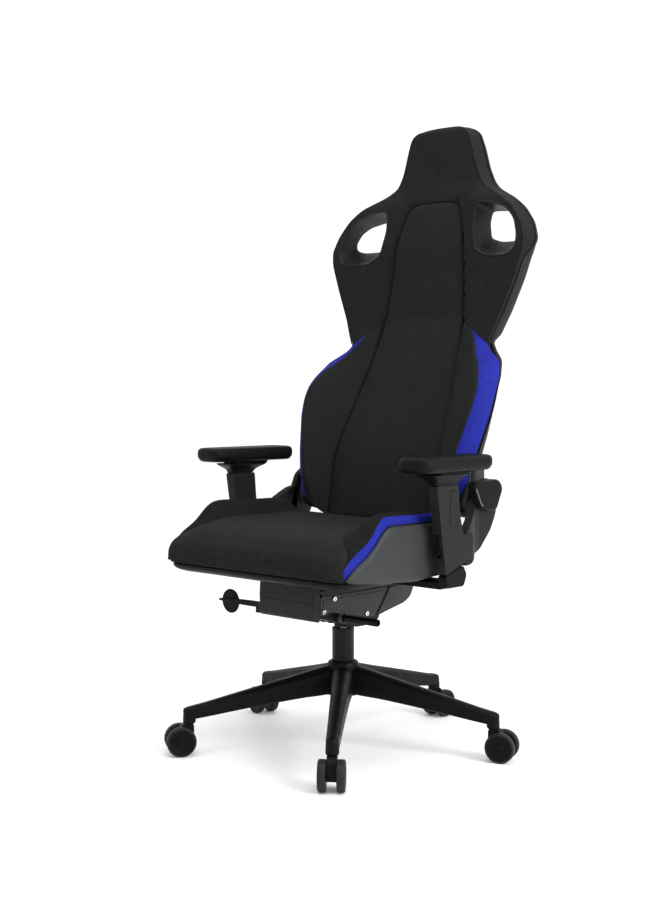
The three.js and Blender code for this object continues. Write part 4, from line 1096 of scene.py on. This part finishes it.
def corner_lift(p, inner=36):
    """How far the backrest's lower corners are raised, which rounds them."""
    c, out = LOWER_CORNER, np.abs(p[..., 0])
    rise = c["rise"] * np.clip((out - c["last"]) / c["width"], 0, 1) ** 2
    rise = inner * eased(out, c["start"], c["end"]) + rise
    return rise * (1 - np.clip((p[..., 2] - BACK_BOTTOM) / c["height"], 0, 1))


def upper_front(b, k, x, outer):
    """Depth of the shoulders' and head's front face at a distance across, on section k."""
    seam_x, seam_y, edge_y, z = b.seam_x[k], b.seam_y[k], b.edge_y[k] - 1, b.z[k]
    inside = seam_y - 6 * (1 - min(1.0, x / seam_x) ** 2)
    inside += 9 * (1 - eased(z, PAD_TOP - 12, PAD_TOP + 4))
    t = max(0.0, (x - seam_x) / (outer - seam_x))
    outside = seam_y + (edge_y - seam_y) * t - 4.5 * math.sin(math.pi * min(1.0, t)) ** 0.8
    shoulder = inside if x < seam_x else outside + 2.2 * math.exp(-(((x - seam_x) / 3.5) ** 2))
    head = seam_y - 7 + (edge_y - seam_y + 7) * (x / outer) ** 2.4
    share = float(eased(z, PAD_TOP - 10, PAD_TOP + 34))
    return shoulder * (1 - share) + head * share


def upper_ring(b, k):
    """A section of the shoulders and head, from one side round the front and back again."""
    outer, inset = b.outer[k], b.top_inset[k]
    front = []
    for share in np.linspace(0, 0.955, 30):
        x = share * (outer - CORNER) / 0.955
        front.append([x, upper_front(b, k, x, outer) + inset])
    edge_y = upper_front(b, k, outer - CORNER, outer) + inset
    arc = [[outer - CORNER * (1 - math.sin(a)), edge_y + CORNER * (1 - math.cos(a))]
           for a in np.linspace(0.2, math.pi / 2, 5)]
    back_y = max(b.edge_y[k] + b.pad_side[k] - inset * 0.3, edge_y + CORNER + 1.0)
    side = [[outer + 0.6, (edge_y + CORNER) * 0.5 + back_y * 0.5], [outer, back_y]]
    inner_y = max(b.core_y[k] + PADDING - inset * 0.3, back_y)
    rear = [[outer * 0.8, max(back_y, inner_y - 3)], [outer * 0.4, inner_y], [0, inner_y]]
    half = front + arc + side + rear
    ring = half + [[-x, y] for x, y in reversed(half[1:-1])]
    return [[x, y, b.z[k]] for x, y in ring]


def opening_ring(depth, grow, count=64):
    """One smooth outline of the left shoulder opening, at a depth behind the padding's face."""
    corners = rounded(OPENING_FRONT, 8, 4)
    outline = respaced(np.vstack([corners, corners[:1]]), count + 1)[:-1]
    outline = sum(np.roll(outline, s, 0) for s in (-1, 0, 1)) / 3
    away = outline - [OPENING["x"], OPENING["z"]]
    share = min(1.0, max(-0.3, depth / OPENING["depth"]))
    face = OPENING["face_y"] - 0.14 * away[:, 0] + 0.128 * away[:, 1]
    away *= 1 - share * (1 - np.array(OPENING["taper"]))
    length = np.linalg.norm(away, axis=1)
    away *= ((length + grow) / length)[:, None]
    return np.column_stack([OPENING["x"] + away[:, 0], face + depth, OPENING["z"] + away[:, 1]])


def opening_tools(grow):
    """Cutters for both shoulder openings."""
    depth = OPENING["depth"]
    left = loft([opening_ring(d, grow) for d in (-30, 0, depth, depth + 60)])
    return left, flipped(left)


def make_upper_pad():
    heights = np.r_[np.arange(SHOULDER_BOTTOM, 1388, 5.5), np.arange(1388, 1402, 3.0),
                    HEIGHT - np.array([12, 9, 6.5, 4.5, 3, 1.8, 1, 0.4, 0])]
    b = Backrest(heights)
    rings = slanted([upper_ring(b, k) for k in range(len(heights))])
    pad = new_object("upper_back_padding", loft(rings))
    carved(pad, *opening_tools(2.6))
    softened(pad, angle=50)
    finish_piece(pad, "backrest", CLOTH_BLACK, "fabric_black", "upper_back_pad")
    line = []
    for k, outer in enumerate(b.outer[:-6]):
        front = upper_front(b, k, outer - CORNER, outer)
        line.append([outer - 1.2, front + b.top_inset[k] + 1.0, heights[k]])
    kernel = np.ones(5) / 5
    line = np.stack([np.convolve(c, kernel, "valid") for c in arched(slanted(line), 420).T], 1)
    hard("head_piping", tube(line, 1.5, 10), "backrest", THREAD, "fabric_black")
    return pad


def front_of(pad):
    """A function that finds the front of a pad near a point: where it is, and its normal."""
    tree = BVHTree.FromObject(pad, bpy.context.evaluated_depsgraph_get())
    ahead = [0, 60, 0]  # far enough to start in front of the pad
    return lambda point: tree.ray_cast(Vector(place(point - ahead)), Vector((0, 1, 0)))[:2]


def make_bezels(pad):
    """The funnels that line the shoulder openings, each with a lip that lies on the fabric."""
    find = front_of(pad)
    crest = opening_ring(0, 4.6)
    for point in crest:
        found = find(point)[0]
        if found:
            point[1] = min(unplaced(found)[1], point[1] + 4)
    for _ in range(6):
        crest[:, 1] = (np.roll(crest[:, 1], 1) + 2 * crest[:, 1] + np.roll(crest[:, 1], -1)) / 4
    depth = OPENING["depth"]

    def lip(grow, forward):
        ring = opening_ring(0, grow)
        ring[:, 1] = crest[:, 1] - forward
        return ring

    rings = [lip(4.0, -4.0), lip(4.0, -0.4), lip(3.6, 0.8), lip(2.6, 1.4), lip(1.4, 1.2),
             lip(0.5, 0.2), lip(0.0, -2.0)]
    rings += [opening_ring(d, 0) for d in (8, 16, 28, 40, 50, depth + 1)]
    rings += [opening_ring(depth + 3, 1.5), opening_ring(depth + 2.6, 5), opening_ring(depth, 6.0),
              opening_ring(depth - 8, 4.0)]
    rings += [opening_ring(d, 2.2) for d in (30, 8)]
    rings.append(rings[0])
    shape = loft(rings, caps=False)
    hard_pair("shoulder_lining", shape, "backrest", DARK_GREY, "grey_plastic", "shoulder_bezel",
              angle=60)


def pad_turn(z):
    """How far the centre pad narrows at a height, where its upper corners round in."""
    over = max(0.0, z - PAD_TOP + PAD_TURN)
    return PAD_TURN - math.sqrt(max(0.0, PAD_TURN**2 - over**2))


def make_centre_pad():
    heights = np.r_[CENTRE_BOTTOM + np.array([0, 1, 2.5, 5, 9, 15]), np.arange(514, PAD_TOP - 26, 7.0),
                    PAD_TOP - np.array([25, 22, 19, 16, 13, 10, 7, 5, 3, 1.4, 0.4, 0])]
    b = Backrest(heights)
    rings = []
    for k, z in enumerate(heights):
        half = b.seam_x[k] - 0.4 - pad_turn(z)
        ends = min(1.0, (PAD_TOP - z) / 13, (z - CENTRE_BOTTOM) / 15)
        crown = CROWN * max(0.0, ends) ** 0.45
        front = []
        for u in np.sin(np.linspace(-1, 1, 43) * math.pi / 2):
            full = (1 - abs(u) ** 5) ** 0.55
            front.append([u * half, b.seam_y[k] + 4.0 - crown * full])
        back = b.core_y[k] + PADDING
        rear = [[half * s, back] for s in (1, 0.5, 0, -0.5, -1)]
        rings.append([[x, y, z] for x, y in front + rear])
    pad = new_object("centre_padding", loft(rings))
    finish_piece(pad, "backrest", CLOTH_BLACK, "fabric_black", "back_centre_pad")

    def pinned(p):
        x, y, z = p.T
        depth = y - np.interp(z, heights, b.seam_y)
        edge = np.interp(z, heights, b.seam_x) - np.abs(x)
        return (depth > 2) | (edge < 7) | (z > PAD_TOP - 14) | (z < CENTRE_BOTTOM + 8)

    upholstered(pad, pinned, pressure=2.0, cap=4.0)
    return b, pad


def make_centre_piping(b):
    """A bead along the centre pad's seam, up both sides and over its top."""
    line = []
    for x, y, z in zip(b.seam_x, b.seam_y, b.z):
        turn = pad_turn(z)
        share = (x - turn) / x
        line.append([x - turn + 0.6, y + 0.8 - 6 * (1 - share**2), z + 0.5 * (z >= PAD_TOP)])
    line = arched(np.array(line)[b.z > 520], 460)
    hard("centre_piping", tube(line, 2.2, 10), "backrest", CLOTH_DARK, "fabric_black")


def bolster_line(b, k):
    """The front of a bolster's section from seam to rim, and the share where its crest lies."""
    inner, outer = b.seam_x[k] + 0.5, b.outer[k]
    seam_y, crest_x, crest_y, edge_y = b.seam_y[k], b.crest_x[k], b.crest_y[k], b.edge_y[k] - 1
    crest_x = min(crest_x, outer - 6)
    across, back = outer - crest_x, edge_y - crest_y
    flank = [[crest_x + 0.35 * across + 3, crest_y + 0.26 * back],
             [crest_x + 0.75 * across + 1.5, crest_y + 0.66 * back]]
    line = [[inner, seam_y + 4], [inner + 3, seam_y - 1.5],
            [inner + 0.34 * (crest_x - inner), seam_y + 0.30 * (crest_y - seam_y) - 2],
            [inner + 0.66 * (crest_x - inner), seam_y + 0.64 * (crest_y - seam_y) - 1],
            [crest_x - 13, crest_y + 0.5], [crest_x + 2, crest_y + 0.5], *flank, [outer, edge_y]]
    curve = spline(line, 8)
    length = lengths(curve)
    return curve, length, length[40] / length[-1]


def bolster_ring(b, k, start_share, end_share):
    curve, length, crest = bolster_line(b, k)
    start = max(0.07, crest + start_share * (1 - crest))
    end = crest + end_share * (1 - crest)
    stops = np.array([0, start, max(end, start + 0.02), 1.0]) * length[-1]
    places = divided(stops, BOLSTER_STRIPS)
    front = sewn(read_along(curve, length, places), places, stops[1:3], 1.6, 1.5, 6.0)
    back_y = b.edge_y[k] + b.pad_side[k]
    outer = front[-1, 0] - b.tuck[k] * b.pad_side[k] / b.side[k]
    inner_y = b.core_y[k] + PADDING
    side = [[outer, back_y], [outer * 0.8 + 0.2 * front[0, 0], max(back_y, inner_y - 6)],
            [front[0, 0], inner_y]]
    return [[x, y, b.z[k]] for x, y in list(front) + side]


def make_bolsters():
    heights = np.r_[BACK_BOTTOM + np.array([0, 1.5, 4, 8, 14]), np.arange(520, 880, 6.0),
                    np.arange(880, 904, 2.4), SHOULDER_BOTTOM - 0.4]
    b = Backrest(heights)
    starts = np.interp(heights, *np.transpose([
        [500, 0.50], [545, 0.28], [600, 0.06], [650, 0.0], [800, -0.02], [830, -0.06], [862, -0.08],
        [890, -0.09], [899, -0.16], [902.5, -0.24], [904.6, -1.0],
    ]))
    rings = [bolster_ring(b, k, starts[k], 0.985) for k in range(len(heights))]
    before, over = BOLSTER_STRIPS[:2]
    across = [int(before <= c < before + over) for c in range(len(rings[0]))]
    looks = across * (len(rings) - 1) + [0, 0]
    shape = loft(slanted(rings))

    def pinned(p):
        x, y, z = p.T
        at_rim = np.interp(z, heights, b.edge_x) - np.abs(x)
        behind = y - np.interp(z, heights, b.seam_y)
        return (at_rim < 8) | (behind > 1) | (z > 870) | (z < 514)

    for side, word in SIDES:
        bolster = new_object(f"back_bolster_padding_{word}", sided(shape, side), looks)
        finish_piece(bolster, "backrest", [CLOTH_BLACK, CLOTH_BLUE], "fabric_blue",
                     f"back_bolster_{word}")
        upholstered(bolster, pinned, pressure=1.6, cap=3.0)


def shell_ring(b, k):
    """A section of the shell: its rim round the padding, its rolled side and its back."""
    x, y, side, core = b.edge_x[k], b.edge_y[k], b.side[k], b.core_y[k]
    inset = b.top_inset[k] * 0.6
    back = core + BACK_DEPTH - inset
    lip = max(y + b.pad_side[k] + 0.6, y + 1.5) + inset * 0.4
    corner = max(y + side - inset, lip + 6)
    hidden = max(lip + 3, min(core + 26, back - 8))
    near, tuck = x - b.tuck[k] * (lip - y) / side, b.tuck[k]
    half = [[0, hidden], [x * 0.5, hidden], [near - 16 - tuck * 0.6, min(hidden, corner - 5)],
            [near - RIM - 2.5, lip + 2.5], [near - RIM + 0.3, lip], [near - 0.8, lip],
            [near, lip + 0.8],
            [x + 0.9 - 0.55 * tuck, 0.6 * lip + 0.4 * corner],
            [x + 0.6 - 0.82 * tuck, 0.28 * lip + 0.72 * corner],
            [x - 2.6 - tuck, max(corner - 3.2, 0.1 * lip + 0.9 * corner)],
            [x - 9 - tuck, corner], [x * 0.78 - 0.5 * tuck, corner + 0.55 * (back - corner)],
            [x * 0.55, back - 1.5], [x * 0.3, back - 0.4], [0, back]]
    ring = half + [[-px, py] for px, py in reversed(half[1:-1])]
    return [[px, py, b.z[k]] for px, py in ring]


def make_shell():
    heights = np.r_[SHELL_BOTTOM + np.array([0, 1, 3, 6]), np.arange(510, 1388, 6.0),
                    np.arange(1388, 1402, 3.0), HEIGHT - np.array([11, 8, 5.5, 3.5, 2, 1, 0.4, 0])]
    b = Backrest(heights)
    rings = np.array([shell_ring(b, k) for k in range(len(heights))])
    rings[..., 2] += corner_lift(rings, inner=8)
    shell = new_object("back_cover", loft(rings))
    carved(shell, *opening_tools(4.2))
    softened(shell, angle=42)
    finish_piece(shell, "backrest", SHELL_GREY, "grey_plastic", "back_shell")
    strut = chamfered([[118, 538], [136, 636], [184, 636], [186, 520], [134, 516]], 226, 252, 9)
    lug = turned([[9, 226], [23, 226], [26, 229], [26, 262], [24, 264.5], [9, 265.4], [9, 226]], 56,
                 "x", (0, *PIVOT))
    hard_pair("back_hinge", joined(strut, lug), "backrest", GREY, "grey_plastic", width=1.6, angle=40)


def stitches(name, path, pad, pitch=5.2, length=3.4):
    """A row of stitches along a path, [x, y, z], laid onto the front of a pad."""
    find = front_of(pad)
    total = np.linalg.norm(np.diff(path, axis=0), axis=1).sum()
    line = respaced(path, max(3, int(total / pitch)))
    shapes = []
    for here, ahead in zip(line, line[1:]):
        near, normal = find(here)
        if near is None:
            continue
        along = Vector(ahead - here).normalized()
        along = (along - normal * along.dot(normal)).normalized()
        middle = unplaced(near)
        along, normal = np.array(along), np.array(normal)
        ends = [middle + along * length * s + normal * h
                for s, h in ((-0.5, -0.35), (-0.3, 0.3), (0, 0.5), (0.3, 0.3), (0.5, -0.35))]
        shapes.append(tube(ends, 0.42, 5))
    hard(name, joined(*shapes), "backrest", THREAD, "fabric_black")


def make_back_seams(b, pad, upper):
    """Twin stitch rows beside the centre pad's seams, and one round its top."""
    rows = (("centre", pad, -9.5, -7, 530, 26), ("shoulder", upper, 9, -4, 965, 11))
    for side, word in SIDES:
        for name, under, across, back, low, short in rows:
            line = np.column_stack([side * (b.seam_x + across), b.seam_y + back, b.z])
            line = line[(b.z > low) & (b.z < PAD_TOP - short)]
            stitches(f"{name}_stitching_{word}", line, under)
    arc = [[-84, -14], [-74, 0], [-58, 8], [0, 10], [58, 8], [74, 0], [84, -14]]
    arc = [[x, 320, PAD_TOP + up] for x, up in arc]
    stitches("head_stitching", spline(arc, 12), upper)


# ---- CAD nodes that stay --------------------------------------------------------------------


def dress_frame():
    """Gives the CAD nodes that stay in view their materials and softened edges."""
    rails = [f"{level}_rail_{word}" for level in ("lower", "upper") for _, word in SIDES]
    bare = dict.fromkeys(["tilt_axle", "thrust_bearing", "rod_clip", *rails], ZINC)
    looks = {"carrier_plate": POWDER_COAT, "piston_rod": CHROME, **bare}
    for name, look in looks.items():
        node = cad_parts[name]
        for holder in node.material_slots:
            holder.material = look
        if "rail" in name or "plate" in name:
            edge = node.modifiers.new("edges", "BEVEL")
            edge.width, edge.segments, edge.limit_method = 0.8 * MM, 2, "ANGLE"


# ---- Studio ---------------------------------------------------------------------------------


def make_floor():
    size = 9.0
    mesh = bpy.data.meshes.new("floor")
    corners = [(x, y, 0) for x, y in rectangle(-size, size, -size, size)]
    mesh.from_pydata(corners, [], [(0, 1, 2, 3)])
    floor = bpy.data.objects.new("floor", mesh)
    bpy.context.scene.collection.objects.link(floor)
    s = Shader("floor", 0.55)
    s.coloured(s.mixed(s.noise(1.2, 3), (0.89, 0.89, 0.89), (0.92, 0.92, 0.92)))
    mesh.materials.append(s.material)


def area_light(name, at, towards, size, power):
    light = bpy.data.lights.new(name, "AREA")
    light.shape, light.size, light.size_y = "RECTANGLE", size[0], size[1]
    light.energy = power
    lamp = bpy.data.objects.new(name, light)
    lamp.location = at
    lamp.rotation_euler = (Vector(towards) - Vector(at)).to_track_quat("-Z", "Y").to_euler()
    bpy.context.scene.collection.objects.link(lamp)


def make_lights():
    world = bpy.data.worlds.new("studio")
    bpy.context.scene.world = world
    world.use_nodes = True
    background = world.node_tree.nodes["Background"]
    background.inputs["Color"].default_value = (1, 1, 1, 1)
    background.inputs["Strength"].default_value = 1.08
    area_light("overhead", (0.4, -0.3, 3.4), (0, 0, 0.4), (2.6, 2.6), 62)
    area_light("side", (3.4, 0.3, 1.9), (0.1, 0.1, 0.7), (1.6, 2.2), 125)


CAMERA = {"azimuth": 42.376, "distance": 3.0971, "height": 0.8111, "yaw": 0.752, "pitch": 3.182,
          "focal": 1395.2, "frame": 921, "sensor": 36.0}  # focal length and frame height in pixels


def make_camera():
    azimuth = math.radians(CAMERA["azimuth"])
    yaw, pitch = azimuth + math.radians(CAMERA["yaw"]), math.radians(CAMERA["pitch"])
    camera = bpy.data.cameras.new("camera")
    camera.sensor_width = CAMERA["sensor"]
    camera.lens = CAMERA["sensor"] * CAMERA["focal"] / CAMERA["frame"]
    camera.clip_end = 60
    holder = bpy.data.objects.new("camera", camera)
    holder.location = (CAMERA["distance"] * math.sin(azimuth) + COLUMN_AXIS[0] * MM,
                       -CAMERA["distance"] * math.cos(azimuth) + COLUMN_AXIS[1] * MM,
                       CAMERA["height"])
    ahead = Vector((-math.sin(yaw) * math.cos(pitch), math.cos(yaw) * math.cos(pitch),
                    -math.sin(pitch)))
    holder.rotation_euler = ahead.to_track_quat("-Z", "Y").to_euler()
    bpy.context.scene.collection.objects.link(holder)
    bpy.context.scene.camera = holder


# ---- Everything together --------------------------------------------------------------------

bpy.context.scene.view_settings.view_transform = "Standard"
for make in (make_camera, make_floor, make_lights, make_base, make_casters, make_column, make_housing,
             make_side_plates, make_covers, make_cross_beam, make_spring, make_height_lever,
             make_lock_lever, make_recline_lever, make_pan, make_side_panels, make_cushion,
             make_brackets, make_posts, make_pads):
    make()
upper_pad = make_upper_pad()
make_bezels(upper_pad)
outlines, centre_pad = make_centre_pad()
make_centre_piping(outlines)
make_bolsters()
make_shell()
make_back_seams(outlines, centre_pad, upper_pad)
dress_frame()
